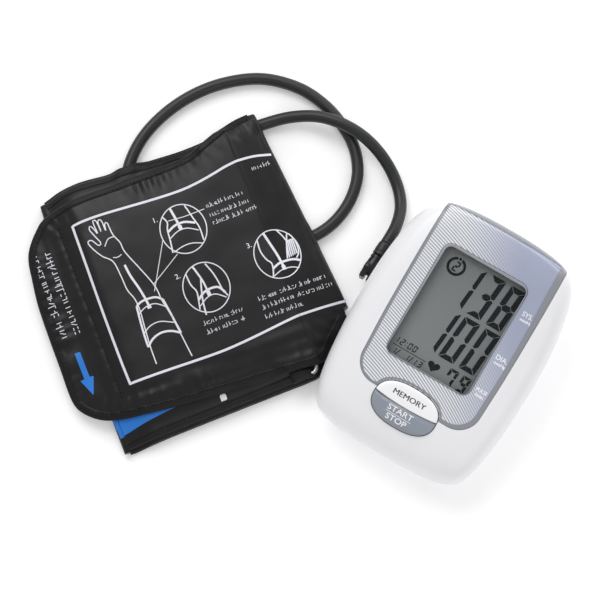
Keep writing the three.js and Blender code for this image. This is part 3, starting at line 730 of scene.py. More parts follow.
def finish_mesh(o, name, mats, to_row=unit, smooth=35, body=ROOT, replaces=(), skin=None):
    """Moves a millimetre mesh into the row frame, sets materials and shading, and puts it on its body."""
    me = o.data
    co = np.zeros(len(me.vertices) * 3)
    me.vertices.foreach_get("co", co)
    co = co.reshape(-1, 3)
    normals = None
    if skin is not None:
        normals = skin_normals(me, skin)
    row = np.array([to_row(p) for p in co]) if to_row else co
    me.vertices.foreach_set("co", row.ravel())
    me.materials.clear()
    for m in (mats if isinstance(mats, (list, tuple)) else [mats]):
        me.materials.append(m)
    me.polygons.foreach_set("material_index", [0] * len(me.polygons))
    me.polygons.foreach_set("use_smooth", [True] * len(me.polygons))
    me.set_sharp_from_angle(angle=math.radians(smooth))
    me.update()
    if normals is not None:
        me.normals_split_custom_set(normals)
    o.name = name
    me.name = name
    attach(o, body)
    if replaces:
        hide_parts(*([replaces] if isinstance(replaces, str) else replaces))
    return o


class Skin:
    """A smooth reference surface in millimetres, with its vertex normals."""

    def __init__(self, verts, faces):
        self.v = np.asarray(verts, float)
        tris = []
        for f in faces:
            for i in range(1, len(f) - 1):
                tris.append((f[0], f[i], f[i + 1]))
        self.t = np.array(tris)
        a, b, c = self.v[self.t[:, 0]], self.v[self.t[:, 1]], self.v[self.t[:, 2]]
        fn = np.cross(b - a, c - a)
        vn = np.zeros_like(self.v)
        for k in range(3):
            np.add.at(vn, self.t[:, k], fn)
        self.n = vn / np.maximum(np.linalg.norm(vn, axis=1, keepdims=True), 1e-12)
        self.bvh = BVHTree.FromPolygons([tuple(p) for p in self.v], [tuple(int(i) for i in t) for t in self.t])

    def normal(self, p):
        loc, nrm, idx, dist = self.bvh.find_nearest(Vector(p))
        return self._at(loc, idx), dist, loc

    def _at(self, loc, idx):
        a, b, c = (self.v[i] for i in self.t[idx])
        v0, v1, v2 = b - a, c - a, np.array(loc) - a
        d00, d01, d11, d20, d21 = v0 @ v0, v0 @ v1, v1 @ v1, v2 @ v0, v2 @ v1
        den = d00 * d11 - d01 * d01
        if abs(den) < 1e-14:
            return Vector(self.n[self.t[idx][0]])
        q = (d11 * d20 - d01 * d21) / den
        r = (d00 * d21 - d01 * d20) / den
        n = (1 - q - r) * self.n[self.t[idx][0]] + q * self.n[self.t[idx][1]] + r * self.n[self.t[idx][2]]
        return Vector(n).normalized()

    def down(self, x, y, z=300):
        loc, nrm, idx, dist = self.bvh.ray_cast(Vector((x, y, z)), Vector((0, 0, -1)))
        if loc is None:
            loc, nrm, idx, dist = self.bvh.find_nearest(Vector((x, y, 0)))
        return loc, self._at(loc, idx)


def skin_normals(me, skin):
    """Corner normals that follow the uncut surface wherever a face lies on it, so cut edges don't shade."""
    cache = {}
    out = []
    for poly in me.polygons:
        fn = poly.normal
        corner = []
        on = True
        for vi in poly.vertices:
            if vi not in cache:
                n, d, _ = skin.normal(me.vertices[vi].co)
                cache[vi] = (n, d)
            n, d = cache[vi]
            corner.append(n)
            if d > 0.02 or n.dot(fn) < 0.86:
                on = False
        for n in corner:
            out.append(tuple(n) if on else tuple(fn))
    return out


# ---------------------------------------------------------------- floor
floor = temp(([(-6, -6, 0), (6, -6, 0), (6, 6, 0), (-6, 6, 0)], [(0, 1, 2, 3)]), "floor")
floor.location.z = -0.0004
floor.data.materials.append(floor_material())

# ---------------------------------------------------------------- hose: the cord comes first
HOSE_PTS = [
    (-57.5, 35.5, 12), (-57.5, 41, 11.6), (-58.2, 48.5, 9.6), (-61.6, 59.5, 5.6), (-67.5, 68, 4.0), (-76, 75.2, 4.6),
    (-87.5, 80.9, 8.0), (-101, 84.2, 10.9), (-115.5, 84.4, 11.6), (-129.5, 81.6, 10.0), (-142.5, 75.2, 6.4),
    (-152.6, 66.6, 4.0), (-162, 54.5, 3.6), (-168.5, 38.5, 3.6), (-168.5, 21.5, 3.6), (-161.5, 5.5, 3.6),
    (-149, -5.2, 3.6), (-133, -8.0, 3.6), (-118.5, -3.5, 3.6), (-105.5, 8.2, 3.6), (-95.5, 21, 3.6), (-90.2, 34, 3.6),
    (-89.2, 49.5, 3.6), (-93.6, 65.2, 3.6), (-103.4, 77.8, 3.6), (-116, 85.8, 3.6), (-131, 91.2, 3.6), (-149, 92.6, 3.6),
    (-170.7, 86.6, 3.6), (-188.9, 72.6, 3.6), (-201.5, 55.6, 3.6), (-209.4, 36, 3.6), (-212, 18, 3.6), (-209.8, 1.5, 3.6),
    (-203, -14, 3.6), (-193, -27.5, 3.6), (-180.5, -39.5, 3.6), (-168.5, -49, 3.6), (-156, -58.6, 3.6),
]
hose_line = catmull(HOSE_PTS, 9)                       # monitor frame, mm
hose_row = [unit(p) for p in hose_line]
hv, hf = tube_mesh(hose_row, HOSE_R * MM, seg=28)
hose = make("hose_black", hv, hf, HOSE, smooth=50, ride=False)


# ---------------------------------------------------------------- case outline and skins (monitor frame, mm)
RIGHT = [(0, -70.5), (14, -70.3), (27, -69.4), (36.5, -67.8), (42.6, -65.1), (46.2, -61.6), (48.2, -57.2),
         (49.9, -51), (51.6, -42), (53.2, -28), (54.4, -8), (54.6, 10), (53.8, 26), (52, 40), (49.9, 50), (47.2, 57.6),
         (43.2, 63.2), (37, 67), (27, 69.2), (14, 70.3), (0, 70.6)]
PLAN = resample(catmull(RIGHT + [(-x, y) for x, y in RIGHT[1:-1]][::-1], 10, closed=True), 216)


def part_z(y):
    return 21 + 0.115 * y


def face_z(y):
    return FACE_Z + FACE_SLOPE * y


def ring(inset, zfun, plan=PLAN):
    x = plan[:, 0] * (HALF_W - inset) / HALF_W
    y = plan[:, 1] * (HALF_L - inset) / HALF_L
    return np.stack([x, y, zfun(y)], 1)


TOP = [(0, 0.05, 0), (0.2, 0.3, 0), (1.2, 0.55, 0), (3.4, 0.76, 0), (7, 0.9, 0), (12, 0.965, 0), (18, 1, 0), (30, 1, 0.5), (44, 1, 0.85)]
TOP_FINE = catmull(TOP, 6)


def top_skin(d, below=None, plan=PLAN, step=1):
    rings = []
    if below is None:
        rings.append(ring(0.9 + d, lambda y: part_z(y) + GAP / 2, plan))
    else:
        rings.append(ring(d, lambda y: part_z(y) - below, plan))
    for inset, t, crown in TOP_FINE[::step]:
        rings.append(ring(inset + d, lambda y: part_z(y) + t * (face_z(y) - part_z(y)) - d * t + crown, plan))
    z0 = float(np.mean(rings[0][:, 2]))
    return loft(rings, (0, 0, z0), (0, 0, FACE_Z + 1 - d))


LOW = [(9.2, None), (8.4, 0.16), (4.6, 0.48), (1.9, 0.8), (0.9, 0.97)]


def low_skin(d, above=None, plan=PLAN, fine=5):
    rings = [ring(10.6 + d, lambda y: BASE_Z + d + 0 * y, plan), ring(9.2 + d, lambda y: BASE_Z + d + 0.8 + 0 * y, plan)]
    lv = catmull([(9.2, 0.0), (8.4, 0.16), (4.6, 0.48), (1.9, 0.8), (0.7, 1.0)], fine)
    for inset, t in lv[1:]:
        rings.append(ring(inset + d, lambda y: (1 - t) * (BASE_Z + d + 0.8 * (1 - t)) + t * (part_z(y) - GAP / 2), plan))
    if above:
        rings.append(ring(0.7 + d, lambda y: part_z(y) + above, plan))
    return loft(rings, (0, 0, BASE_Z + d), (0, 0, 21 + (above or -GAP / 2)))


COARSE = PLAN[::3]
skin_part = top_skin(0)
SKIN = Skin(*skin_part)
LOW_SKIN = Skin(*low_skin(0))


def panel_plan(grow, n=14):
    w, y0, r = PANEL_HALF + grow, PANEL_END - grow, PANEL_R + grow
    wr = w + PANEL_MORE
    pts = []
    for i in range(n + 1):
        t = math.radians(180 + 90 * i / n)
        pts.append((-w + r + r * math.cos(t) + 1.2, y0 + r + r * math.sin(t)))
    for i in range(n + 1):
        t = math.radians(270 + 90 * i / n)
        pts.append((wr - r + r * math.cos(t) - 1.2, y0 + r + r * math.sin(t)))
    def side(edge):
        return [tuple(q) for q in catmull([(edge - 1.2, y0 + r), (edge - 0.3, -5), (edge, 20), (edge, 45), (edge - 0.8, 85)], 6)][1:]
    return pts + side(wr) + [(-x, y) for x, y in reversed(side(w))]


def panel_tool(grow, hole=0.0, poly=None):
    """The panel's upright outline, stopping at z 43 beyond y 55."""
    t = temp(prism(poly if poly is not None else panel_plan(grow), PANEL_LOW - 18 - grow, 80))
    return csg(t, temp(box_mesh(-60, 60, 55, 100, 0, PANEL_LOW - grow)), "DIFFERENCE")


def window_tool(grow):
    return temp(prism(round_rect(-WIN_HW - grow, WIN_HW + grow, WIN_Y0 - grow, WIN_Y1 + grow, WIN_R + grow), -12, 8, face_u))


def oval_tool(grow):
    return temp(prism(oval(OVAL_HW + grow, OVAL_HL + grow, OVAL_Y), -12, 8, face_u))


SCREWS = [(-30, -55.5, 10), (30, -55.5, 10), (-36.8, 52, 17), (36.8, 52, 17)]
FEET = [(-35.5, -42), (35.5, -42), (-37.6, 36), (37.6, 36)]

# front cover: white upper shell with the panel's recess
front = temp(skin_part)
csg(front, temp(top_skin(WALL, 4, COARSE, 3)), "DIFFERENCE")
recess = csg(panel_tool(GAP), temp(top_skin(PANEL_T + GAP, 4, COARSE, 2)), "DIFFERENCE")
csg(front, recess, "DIFFERENCE")
csg(front, window_tool(RIM + GAP), "DIFFERENCE")
csg(front, oval_tool(GAP + 0.1), "DIFFERENCE")
finish_mesh(front, "case_front", WHITE, replaces="front_cover", skin=SKIN)

# face panel: the lined overlay, and its grey border as a slightly raised edge of its own
def border_width(x, y):
    """How wide the grey border is beside plan point x, y: thin at the left and foot, wider down the right."""
    if y > -24:
        t = min(max((y - 5) / 45, 0), 1)
        return 2.7 + 1.1 * t * t * (3 - 2 * t) if x > 0 else 1.5
    if x > 0:
        t = min(max((x - 14) / 21, 0), 1)
        return 1.15 + 1.55 * t * t * (3 - 2 * t)
    t = min(max((y + 41) / 17, 0), 1)
    return 1.15 + 0.35 * t


_outer = np.array(panel_plan(0))
_tan = np.roll(_outer, -1, 0) - np.roll(_outer, 1, 0)
_tan /= np.linalg.norm(_tan, axis=1, keepdims=True)
_in = np.stack([-_tan[:, 1], _tan[:, 0]], 1)
if not inside((_outer + _in * 0.5)[20:24], _outer).all():
    _in = -_in
_kept = [(tuple(p + n * border_width(p[0], p[1]))) for p, n in zip(_outer, _in) if p[1] < 58]
_right = [q for q in _kept if q[0] > 0 and q[1] > -20]
_left = [q for q in _kept if q[0] < 0 and q[1] > -20]
_foot = [q for q in _kept if q[1] <= -20]
_foot.sort(key=lambda q: math.atan2(q[1] + 10, q[0]) % (2 * math.pi))
_right.sort(key=lambda q: q[1])
_left.sort(key=lambda q: -q[1])
inner_fine = _foot + _right + [(_right[-1][0], 64.6), (_left[0][0], 64.6)] + _left
panel = csg(temp(skin_part), panel_tool(0), "INTERSECT")
csg(panel, temp(top_skin(PANEL_T, 4, COARSE, 2)), "DIFFERENCE")
csg(panel, window_tool(RIM + GAP), "DIFFERENCE")
csg(panel, oval_tool(GAP + 0.1), "DIFFERENCE")
finish_mesh(panel, "panel_lined", PANEL, replaces="face_panel", skin=SKIN)

edge_part = top_skin(-0.16)
EDGE_SKIN = Skin(*edge_part)
border = csg(temp(edge_part), panel_tool(0.02), "INTERSECT")
csg(border, temp(top_skin(0.3, 4, COARSE, 1)), "DIFFERENCE")
csg(border, temp(prism(inner_fine, 20, 90)), "DIFFERENCE")
csg(border, oval_tool(GAP + 0.1), "DIFFERENCE")
finish_mesh(border, "panel_border", BORDER, replaces="face_panel", skin=EDGE_SKIN)

# the grey line that follows the oval's upper edge across the panel
arc = [p for p in oval(OVAL_HW + 1.2, OVAL_HL + 1.2, OVAL_Y, 160)]


def on_skin(x, y, lift, skin=SKIN):
    """A point on the case's skin over plan point x, y (monitor frame), lifted along its normal."""
    loc, n = skin.down(x, y)
    return (loc.x + n.x * lift, loc.y + n.y * lift, loc.z + n.z * lift)


def face_xy(x, y, z=0.0):
    u = face_u((x, y, z))
    return u[0], u[1]


def skin_strip(name, line, width, lift, thick, mat, smooth=40, closed=False, skin=SKIN):
    """A flat raised line on the case's skin along plan points (monitor frame)."""
    p = np.asarray(line, float)
    tan = (np.roll(p, -1, 0) - np.roll(p, 1, 0)) if closed else np.gradient(p, axis=0)
    tan /= np.linalg.norm(tan, axis=1, keepdims=True)
    nrm = np.stack([-tan[:, 1], tan[:, 0]], 1)
    verts = []
    for q, m in zip(p, nrm):
        a, b = q + m * width / 2, q - m * width / 2
        for (x, y), h in ((a, lift), (b, lift), (b, lift - thick), (a, lift - thick)):
            verts.append(unit(on_skin(x, y, h, skin)))
    n = len(p)
    faces = []
    for i in range(n if closed else n - 1):
        for j in range(4):
            a, b = i * 4 + j, i * 4 + (j + 1) % 4
            c, d = ((i + 1) % n) * 4 + (j + 1) % 4, ((i + 1) % n) * 4 + j
            faces.append((a, b, c, d))
    if not closed:
        faces += [(3, 2, 1, 0), tuple((n - 1) * 4 + j for j in range(4))]
    return make(name, verts, outward(verts, faces), mat, smooth=smooth)


upper = [face_xy(x, y) for x, y in arc if y > OVAL_Y + 3.4]
upper.sort(key=lambda q: -q[0])
skin_strip("oval_line", resample(upper, 120, closed=False), 1.2, 0.22, 0.6, BORDER)

# rear cover: white lower shell with the cell bay, screw wells, foot recesses and socket hole
rear = temp(low_skin(0))
csg(rear, temp(low_skin(WALL, 6, COARSE, 2)), "DIFFERENCE")
bay = csg(temp(box_mesh(-32.2, 32.2, -0.2, 59.2, 2, 20.7)), temp(low_skin(0.05, 30, COARSE, 2)), "INTERSECT")
csg(rear, bay, "UNION")
for x, y, h in SCREWS:
    post = csg(temp(lathe([(0, 2), (4, 2), (4, h), (0, h)], (x, y, 0), "z")), temp(low_skin(0.05, 30, COARSE, 2)), "INTERSECT")
    csg(rear, post, "UNION")
csg(rear, temp(box_mesh(-30.6, 30.6, 1.4, 57.6, -5, 19.2)), "DIFFERENCE")
csg(rear, temp(box_mesh(-31.2, 31.2, 0.4, 90, -5, 3.3)), "DIFFERENCE")
for x, y, h in SCREWS:
    csg(rear, temp(lathe([(0, -1), (3.5, -1), (3.5, BASE_Z), (3, BASE_Z + 0.5), (3, h - 4), (1.7, h - 4), (1.7, h + 1), (0, h + 1)], (x, y, 0), "z")), "DIFFERENCE")
for x, y in FEET:
    csg(rear, temp(lathe([(0, -1), (4.8, -1), (4.8, 2.2), (0, 2.2)], (x, y, 0), "z")), "DIFFERENCE")
csg(rear, temp(lathe([(0, -60), (4.6, -60), (4.6, -40), (0, -40)], (0, PORT_Y, PORT_Z), "x")), "DIFFERENCE")
finish_mesh(rear, "case_rear", WHITE, replaces="rear_cover", skin=LOW_SKIN)

# battery door with a ribbed thumb grip
door = csg(temp(low_skin(0)), temp(box_mesh(-30.9, 30.9, 0.7, 90, 0, 3.0)), "INTERSECT")
for k in range(5):
    y = 44 + 2.6 * k
    cut = temp(lathe([(0, -9), (0.7, -8.6), (0.7, 8.6), (0, 9)], (0, y, BASE_Z), "x", 16))
    csg(door, cut, "DIFFERENCE")
finish_mesh(door, "battery_door", WHITE, replaces="battery_cover", body="battery_door", skin=LOW_SKIN)

# feet, screws
for i, (x, y) in enumerate(FEET):
    v, f = lathe([(0, 1.9), (4.5, 1.9), (4.5, 1.5), (4.2, 0.45), (3.95, 0.12), (3.5, 0), (2.4, 0), (2.1, 0.25), (0, 0.3)], (x, y, 0), "z", 48)
    make(f"foot_{i + 1}", [unit(p) for p in v], f, FOOT, replaces=f"rubber_foot_{i + 1}")
for i, (x, y, h) in enumerate(SCREWS):
    s = temp(lathe([(0, h - 6.3), (1.6, h - 6.3), (2.3, h - 6.1), (2.6, h - 5.6), (2.6, h - 4.3), (1.25, h - 4.3), (1.25, h + 8), (0.5, h + 9), (0, h + 9)], (x, y, 0), "z", 32))
    for a, b in ((1.6, 0.32), (0.32, 1.6)):
        csg(s, temp(box_mesh(x - a, x + a, y - b, y + b, h - 7, h - 5.3)), "DIFFERENCE")
    finish_mesh(s, f"screw_{i + 1}", STEEL, replaces=f"housing_screw_{i + 1}")

# cells and their coned coil springs
for i in range(4):
    x, up = (i - 1.5) * 14.9, i % 2 == 0
    y0, y1 = 4.5, 54.5
    prof = [(0, 0), (5.6, 0), (6.2, 0.25), (7.0, 0.3), (7.1, 0.7), (7.1, 47.9), (6.9, 48.4), (6.2, 48.8), (2.9, 48.8), (2.6, 48.9), (2.6, 49.7), (2.3, 49.9), (0, 49.9)]
    v, f = lathe(prof, (x, 0, 10.9), "y", 40)
    v = [(px, y0 + py, pz) if up else (px, y1 - py, pz) for px, py, pz in v]
    make(f"cell_{i + 1}", [unit(p) for p in v], outward(v, f), CELL, replaces=f"battery_cell_{i + 1}")
    s0, s1 = (y0 - 0.75, 1.4 + 1.35) if up else (y1 + 0.75, 57.6 - 1.35)
    line = []
    for k in range(97):
        t = k / 96
        a, r = 2 * 2 * math.pi * t, 2.2 + 2 * t
        line.append((x + r * math.cos(a), s0 + (s1 - s0) * t, 10.9 + r * math.sin(a)))
    v, f = tube_mesh(line, 0.32, seg=10)
    make(f"spring_{i + 1}", [unit(p) for p in v], f, SPRING, replaces=f"battery_spring_{i + 1}")

# ---------------------------------------------------------------- display
rr = round_rect(-WIN_HW, WIN_HW, WIN_Y0, WIN_Y1, WIN_R, 12)
rim_out = round_rect(-WIN_HW - 1.7, WIN_HW + 1.7, WIN_Y0 - 1.7, WIN_Y1 + 1.7, WIN_R + 1.7, 12)


def opening(x, y):
    """The rim's own inner edge: it is thin at the right and foot, and a little wider at the upper left."""
    down = (WIN_Y1 - y) / (WIN_Y1 - WIN_Y0)
    dx = 1.1 * x / WIN_HW if x > 0 else (0.15 + 0.95 * down) * x / WIN_HW
    return (x + dx, y - 1.1 * down)


# s runs from the inner edge (0) to the outer edge (1)
prof = [(0, -2.3), (1, -2.3), (1, 0.86), (0.94, 1.03), (0.8, 1.12), (0.6, 1.15), (0.4, 1.13), (0.22, 1.04), (0.08, 0.85), (0, 0.5), (0, 0.1)]
k = len(prof)
v, f = [], []
for p_in, p_out in zip(rr, rim_out):
    q = opening(*p_in)
    v += [(q[0] + (p_out[0] - q[0]) * s, q[1] + (p_out[1] - q[1]) * s, z) for s, z in prof]
n = len(rr)
for i in range(n):
    for j in range(k):
        f.append((i * k + j, i * k + (j + 1) % k, ((i + 1) % n) * k + (j + 1) % k, ((i + 1) % n) * k + j))
f = outward(v, f)
# the rim's inner wall faces take the darker grey: painted shade inside the rim
idx = [1 if (j % k) in (k - 1, k - 2) else 0 for j in range(len(f))]
make("display_frame", [face(p) for p in v], f, [RIM_GREY, RIM_PAINTED_SHADE], smooth=32, replaces="display_rim", index=idx)
v, f = sweep_ring(round_rect(-WIN_HW - 0.6, WIN_HW + 0.6, WIN_Y0 - 0.6, WIN_Y1 + 0.6, WIN_R + 0.2, 10), [(0.0, -3.66), (1.05, -3.66), (1.05, -2.55), (0.0, -2.55)])
wv, wf = prism(round_rect(-WIN_HW - 1.6, WIN_HW + 1.6, WIN_Y0 - 1.6, WIN_Y1 + 1.6, WIN_R, 10), -3.7, -2.5)
make("display_lens", [face(p) for p in wv], wf, WINDOW, replaces="display_window")
lv, lf = prism(round_rect(-26.6, 26.6, WIN_Y0 - 2.2, WIN_Y1 + 2.4, 0.8, 4), -6.6, -4.0)
make("display_lcd", [face(p) for p in lv], lf, LCD, replaces="lcd_module")

SEG_Z0, SEG_Z1 = -4.0, -3.93
lcd_parts = []


def lcd_xy(x, y):
    """The display picture's units, from its centre -> mm on the display's own face."""
    return 0.534 * (1.0283 * x + 0.0198 * y + 2.17) - 0.46, 0.5366 * (1.02 * y - 2.0) - 5.77


def flat(poly):
    """A thin dark shape on the display's face; poly in the display picture's units, from its centre."""
    lcd_parts.append(prism([lcd_xy(x, y) for x, y in poly], SEG_Z0 - 0.02, SEG_Z1))


def digit(ch, x0, x1, y0, y1, t, lean, gap=0.5):
    """A seven-segment numeral in the box x0..x1, y0..y1, strokes t thick, leaning over to the right at the top."""
    on = {"0": "abcdef", "1": "bc", "2": "abged", "3": "abgcd", "7": "abcf", "8": "abcdefg", "9": "abcdfg", "/": "s"}[ch]
    ym = (y0 + y1) / 2

    def put(pts):
        flat([(x + lean * (y - y0) / (y1 - y0), y) for x, y in pts])
    h, g = t / 2, gap
    if "a" in on:
        put([(x0 + g * 1.2, y1), (x1 - g * 1.2, y1), (x1 - t - g, y1 - t), (x0 + t + g, y1 - t)])
    if "d" in on:
        put([(x0 + g * 1.2, y0), (x0 + t + g, y0 + t), (x1 - t - g, y0 + t), (x1 - g * 1.2, y0)])
    if "g" in on:
        k = h * 1.18
        put([(x0 + h + g, ym), (x0 + t + g, ym + k), (x1 - t - g, ym + k), (x1 - h - g, ym), (x1 - t - g, ym - k), (x0 + t + g, ym - k)])
    for seg, xa, xb, ya, yb, top_end in (("b", x1 - t, x1, ym + g, y1 - g, True), ("c", x1 - t, x1, y0 + g, ym - g, False),
                                         ("f", x0, x0 + t, ym + g, y1 - g, True), ("e", x0, x0 + t, y0 + g, ym - g, False)):
        if seg not in on:
            continue
        right = xa > (x0 + x1) / 2 or ch == "1"
        outer, innr = (xb, xa) if right else (xa, xb)
        if top_end:
            put([(outer, yb), (outer, ya + h * 0.3), ((outer + innr) / 2, ya), (innr, ya + h), (innr, yb - t * 0.95)])
        else:
            put([(outer, ya), (outer, yb - h * 0.3), ((outer + innr) / 2, yb), (innr, yb - h), (innr, ya + t * 0.95)])
    if "s" in on:
        put([(x0, y0), (x0 + t, y0), (x1, y1), (x1 - t, y1)])


def number(text, boxes, y0, y1, t, lean, gap=0.5):
    for ch, (a, b) in zip(text, boxes):
        digit(ch, a, b, y0, y1, t, lean, gap)


number("1", [(-8.2, -3.4)], 42.2, 88.6, 4.5, 3.0, 0.55)
number("38", [(1.8, 18.2), (24.2, 41.2)], 42.2, 88.6, 5.6, 3.0, 0.5)
number("1", [(-8.2, -3.4)], -8.8, 38.8, 4.5, 3.0, 0.55)
number("00", [(0.6, 18.2), (23.8, 41.2)], -8.8, 38.8, 5.2, 3.0, 0.5)
number("79", [(17, 27), (31.4, 41)], -30.4, -12.8, 3.0, 1.4, 0.4)
for ch, a in zip("12", (-45.2, -38.6)):
    digit(ch, a, a + 4.2, -18.4, -11.6, 1.15, 0.8, 0.2)
for ch, a in zip("00", (-30.0, -24.4)):
    digit(ch, a, a + 4.2, -18.4, -11.6, 1.15, 0.8, 0.2)
flat([(-32.8, -17.4), (-31.8, -17.4), (-31.8, -16.4), (-32.8, -16.4)])
flat([(-32.4, -14), (-31.4, -14), (-31.4, -13), (-32.4, -13)])
flat([(-44, -20.9), (-6.5, -20.9), (-6.5, -20.2), (-44, -20.2)])
digit("1", -42.2, -38.0, -29, -22.6, 1.1, 0.7, 0.2)
digit("/", -37.0, -33.8, -29, -22.6, 1.0, 0.5)
digit("1", -27.2, -23.0, -29, -22.6, 1.1, 0.7, 0.2)
digit("/", -21.8, -18.8, -29, -22.6, 1.0, 0.5)
digit("1", -18.6, -14.4, -29, -22.6, 1.1, 0.7, 0.2)
digit("3", -12.2, -8.0, -29, -22.6, 1.1, 0.7, 0.2)
heart = []
for k in range(48):
    t = 2 * math.pi * k / 48
    hx = 16 * math.sin(t) ** 3
    hy = 13 * math.cos(t) - 5 * math.cos(2 * t) - 2 * math.cos(3 * t) - math.cos(4 * t)
    heart.append((2.6 + hx * 0.41, -20.6 + hy * 0.36))
flat(heart[::-1])
for a0, a1 in ((-254, 74), (81, 99)):
    outer = [(-30.0 + 9.8 * math.cos(math.radians(a)), 77.4 + 9.7 * math.sin(math.radians(a))) for a in np.linspace(a0, a1, 60)]
    innr = [(-30.0 + 7.0 * math.cos(math.radians(a)), 77.4 + 6.9 * math.sin(math.radians(a))) for a in np.linspace(a0, a1, 60)]
    flat(outer + innr[::-1])
digit("2", -33.2, -27.4, 72.0, 82.8, 1.7, 0.8, 0.2)
v, f, _ = merge(*lcd_parts)
make("display_segments", [face(p) for p in v], f, LCD_DARK, smooth=0)

# ---------------------------------------------------------------- push buttons
def split_y(x):
    return OVAL_Y + 1.2 - 1.3 * (1 - (x / 19) ** 2)


def half_oval(upper, gap=0.2):
    pts = oval(OVAL_HW, OVAL_HL, OVAL_Y, 200)
    keep = [(x, y) for x, y in pts if (y > split_y(x) + gap if upper else y < split_y(x) - gap)]
    if upper:
        keep.sort(key=lambda q: math.atan2(q[1] - OVAL_Y, q[0]))
    else:
        keep.sort(key=lambda q: math.atan2(q[1] - OVAL_Y, q[0]) % (2 * math.pi))
    s = gap if upper else -gap
    a, b = keep[-1], keep[0]
    xs = np.linspace(a[0], b[0], 34)[1:-1]
    return keep + [(x, split_y(x) + s) for x in xs]


def key_mesh(name, upper, mat, body, node):
    poly = half_oval(upper)
    rim = oval(OVAL_HW, OVAL_HL, OVAL_Y, 200)

    def top(x, y, d):
        e = seg_distance(np.stack([x, y], 1), rim)
        h = 1.1 + 0.7 * (1 - np.exp(-(e / 1.0) ** 1.4))
        r = np.clip(e / 0.55, 0, 1)
        h = h - 0.45 * (1 - np.sqrt(1 - (1 - r) ** 2))
        dome = 1 - ((x / OVAL_HW) ** 2 + ((y - OVAL_Y) / OVAL_HL) ** 2)
        lip = np.clip(d / 0.35, 0, 1)
        return h + 0.12 * dome - 0.16 * (1 - np.sqrt(1 - (1 - lip) ** 2))
    v, f = pillow(poly, top, lambda x, y, d: -3.3 + 0 * x, grid=1.1, rings=(0.1, 0.22, 0.38, 0.6, 0.95, 1.5), frame_of=face)
    return make(name, v, f, mat, smooth=50, body=body, replaces=node)


key_mesh("key_memory", True, KEY_WHITE, "memory_key", "memory_button")
key_mesh("key_start_stop", False, KEY_GREY, "start_stop_key", "start_stop_button")


# ---------------------------------------------------------------- lettering: generic function words and numerals only
def text_mesh(body_text, size, width=1.0, bold=0.0, shear=0.0, spacing=1.0):
    """Filled letter shapes in mm, centred on the origin, as flat faces."""
    c = bpy.data.curves.new("t", "FONT")
    c.body = body_text
    c.size = 1.0
    c.shear = shear
    c.offset = bold
    c.space_character = spacing
    c.resolution_u = 4
    o = bpy.data.objects.new("t", c)
    scene.collection.objects.link(o)
    dg = bpy.context.evaluated_depsgraph_get()
    me = bpy.data.meshes.new_from_object(o.evaluated_get(dg))
    bpy.data.objects.remove(o)
    v = np.array([tuple(q.co) for q in me.vertices])
    lo, hi = v.min(0), v.max(0)
    s = size / (hi[1] - lo[1])
    v = (v - (lo + hi) / 2) * s
    v[:, 0] *= width
    bm = bmesh.new()
    bm.from_mesh(me)
    for q, p in zip(bm.verts, v):
        q.co = p
    bmesh.ops.remove_doubles(bm, verts=bm.verts, dist=1e-5)
    bmesh.ops.triangulate(bm, faces=bm.faces)
    verts = [tuple(q.co) for q in bm.verts]
    faces = [tuple(q.index for q in fc.verts) for fc in bm.faces]
    bm.free()
    bpy.data.meshes.remove(me)
    return verts, faces


def slab(verts2, faces, place, thick):
    """Gives flat letters a thin closed body: place(x, y, h) puts a point h above the surface."""
    n = len(verts2)
    v = [place(x, y, thick) for x, y, _ in verts2] + [place(x, y, -thick) for x, y, _ in verts2]
    f = [tuple(q) for q in faces] + [tuple(i + n for i in reversed(q)) for q in faces]
    edges = {}
    for q in faces:
        for i, j in zip(q, list(q[1:]) + [q[0]]):
            edges[(i, j)] = 1
    f += [(i, i + n, j + n, j) for (i, j) in edges if (j, i) not in edges]
    return v, outward(v, f)


def key_top(x, y, upper, d=3.0):
    rim_d = seg_distance(np.array([[x, y]]), OVAL_RIM)[0]
    h = 1.1 + 0.7 * (1 - math.exp(-(rim_d / 1.0) ** 1.4))
    dome = 1 - ((x / OVAL_HW) ** 2 + ((y - OVAL_Y) / OVAL_HL) ** 2)
    return h + 0.12 * dome


OVAL_RIM = oval(OVAL_HW, OVAL_HL, OVAL_Y, 200)


def key_text(name, word, cx, cy, size, width, mat, body, upper, bold=0.012, heavy=()):
    tv, tf = text_mesh(word, size, width, bold)
    copies = []
    for k, dx in enumerate((0,) + tuple(heavy)):
        copies.append(slab(tv, tf, lambda x, y, h: face((x + cx + dx, y + cy, key_top(x + cx + dx, y + cy, upper) + 0.015 + h + 0.004 * k)), 0.03))
    v, f, _ = merge(*copies)
    make(name, v, f, mat, smooth=0, body=body)


key_text("word_memory", "MEMORY", -0.05, -40.0, 3.0, 1.14, INK_GREY, "memory_key", True, 0.0, (-0.1, 0.1))
key_text("word_start", "START", -0.7, -48.8, 3.2, 1.19, INK_LABEL, "start_stop_key", False)
key_text("word_stop", "STOP", -0.8, -53.7, 3.2, 1.19, INK_LABEL, "start_stop_key", False)
lv = []
for x in np.linspace(-8.5, 6.9, 16):
    for dy, h in ((0.14, 0.045), (-0.14, 0.045), (-0.14, -0.015), (0.14, -0.015)):
        lv.append(face((x, -51.35 + dy, key_top(x, -51.35 + dy, False) + h)))
lf = [(i * 4 + j, i * 4 + (j + 1) % 4, (i + 1) * 4 + (j + 1) % 4, (i + 1) * 4 + j) for i in range(15) for j in range(4)]
lf += [(3, 2, 1, 0), (60, 61, 62, 63)]
make("word_bar", lv, outward(lv, lf), INK_LABEL, smooth=0, body="start_stop_key")


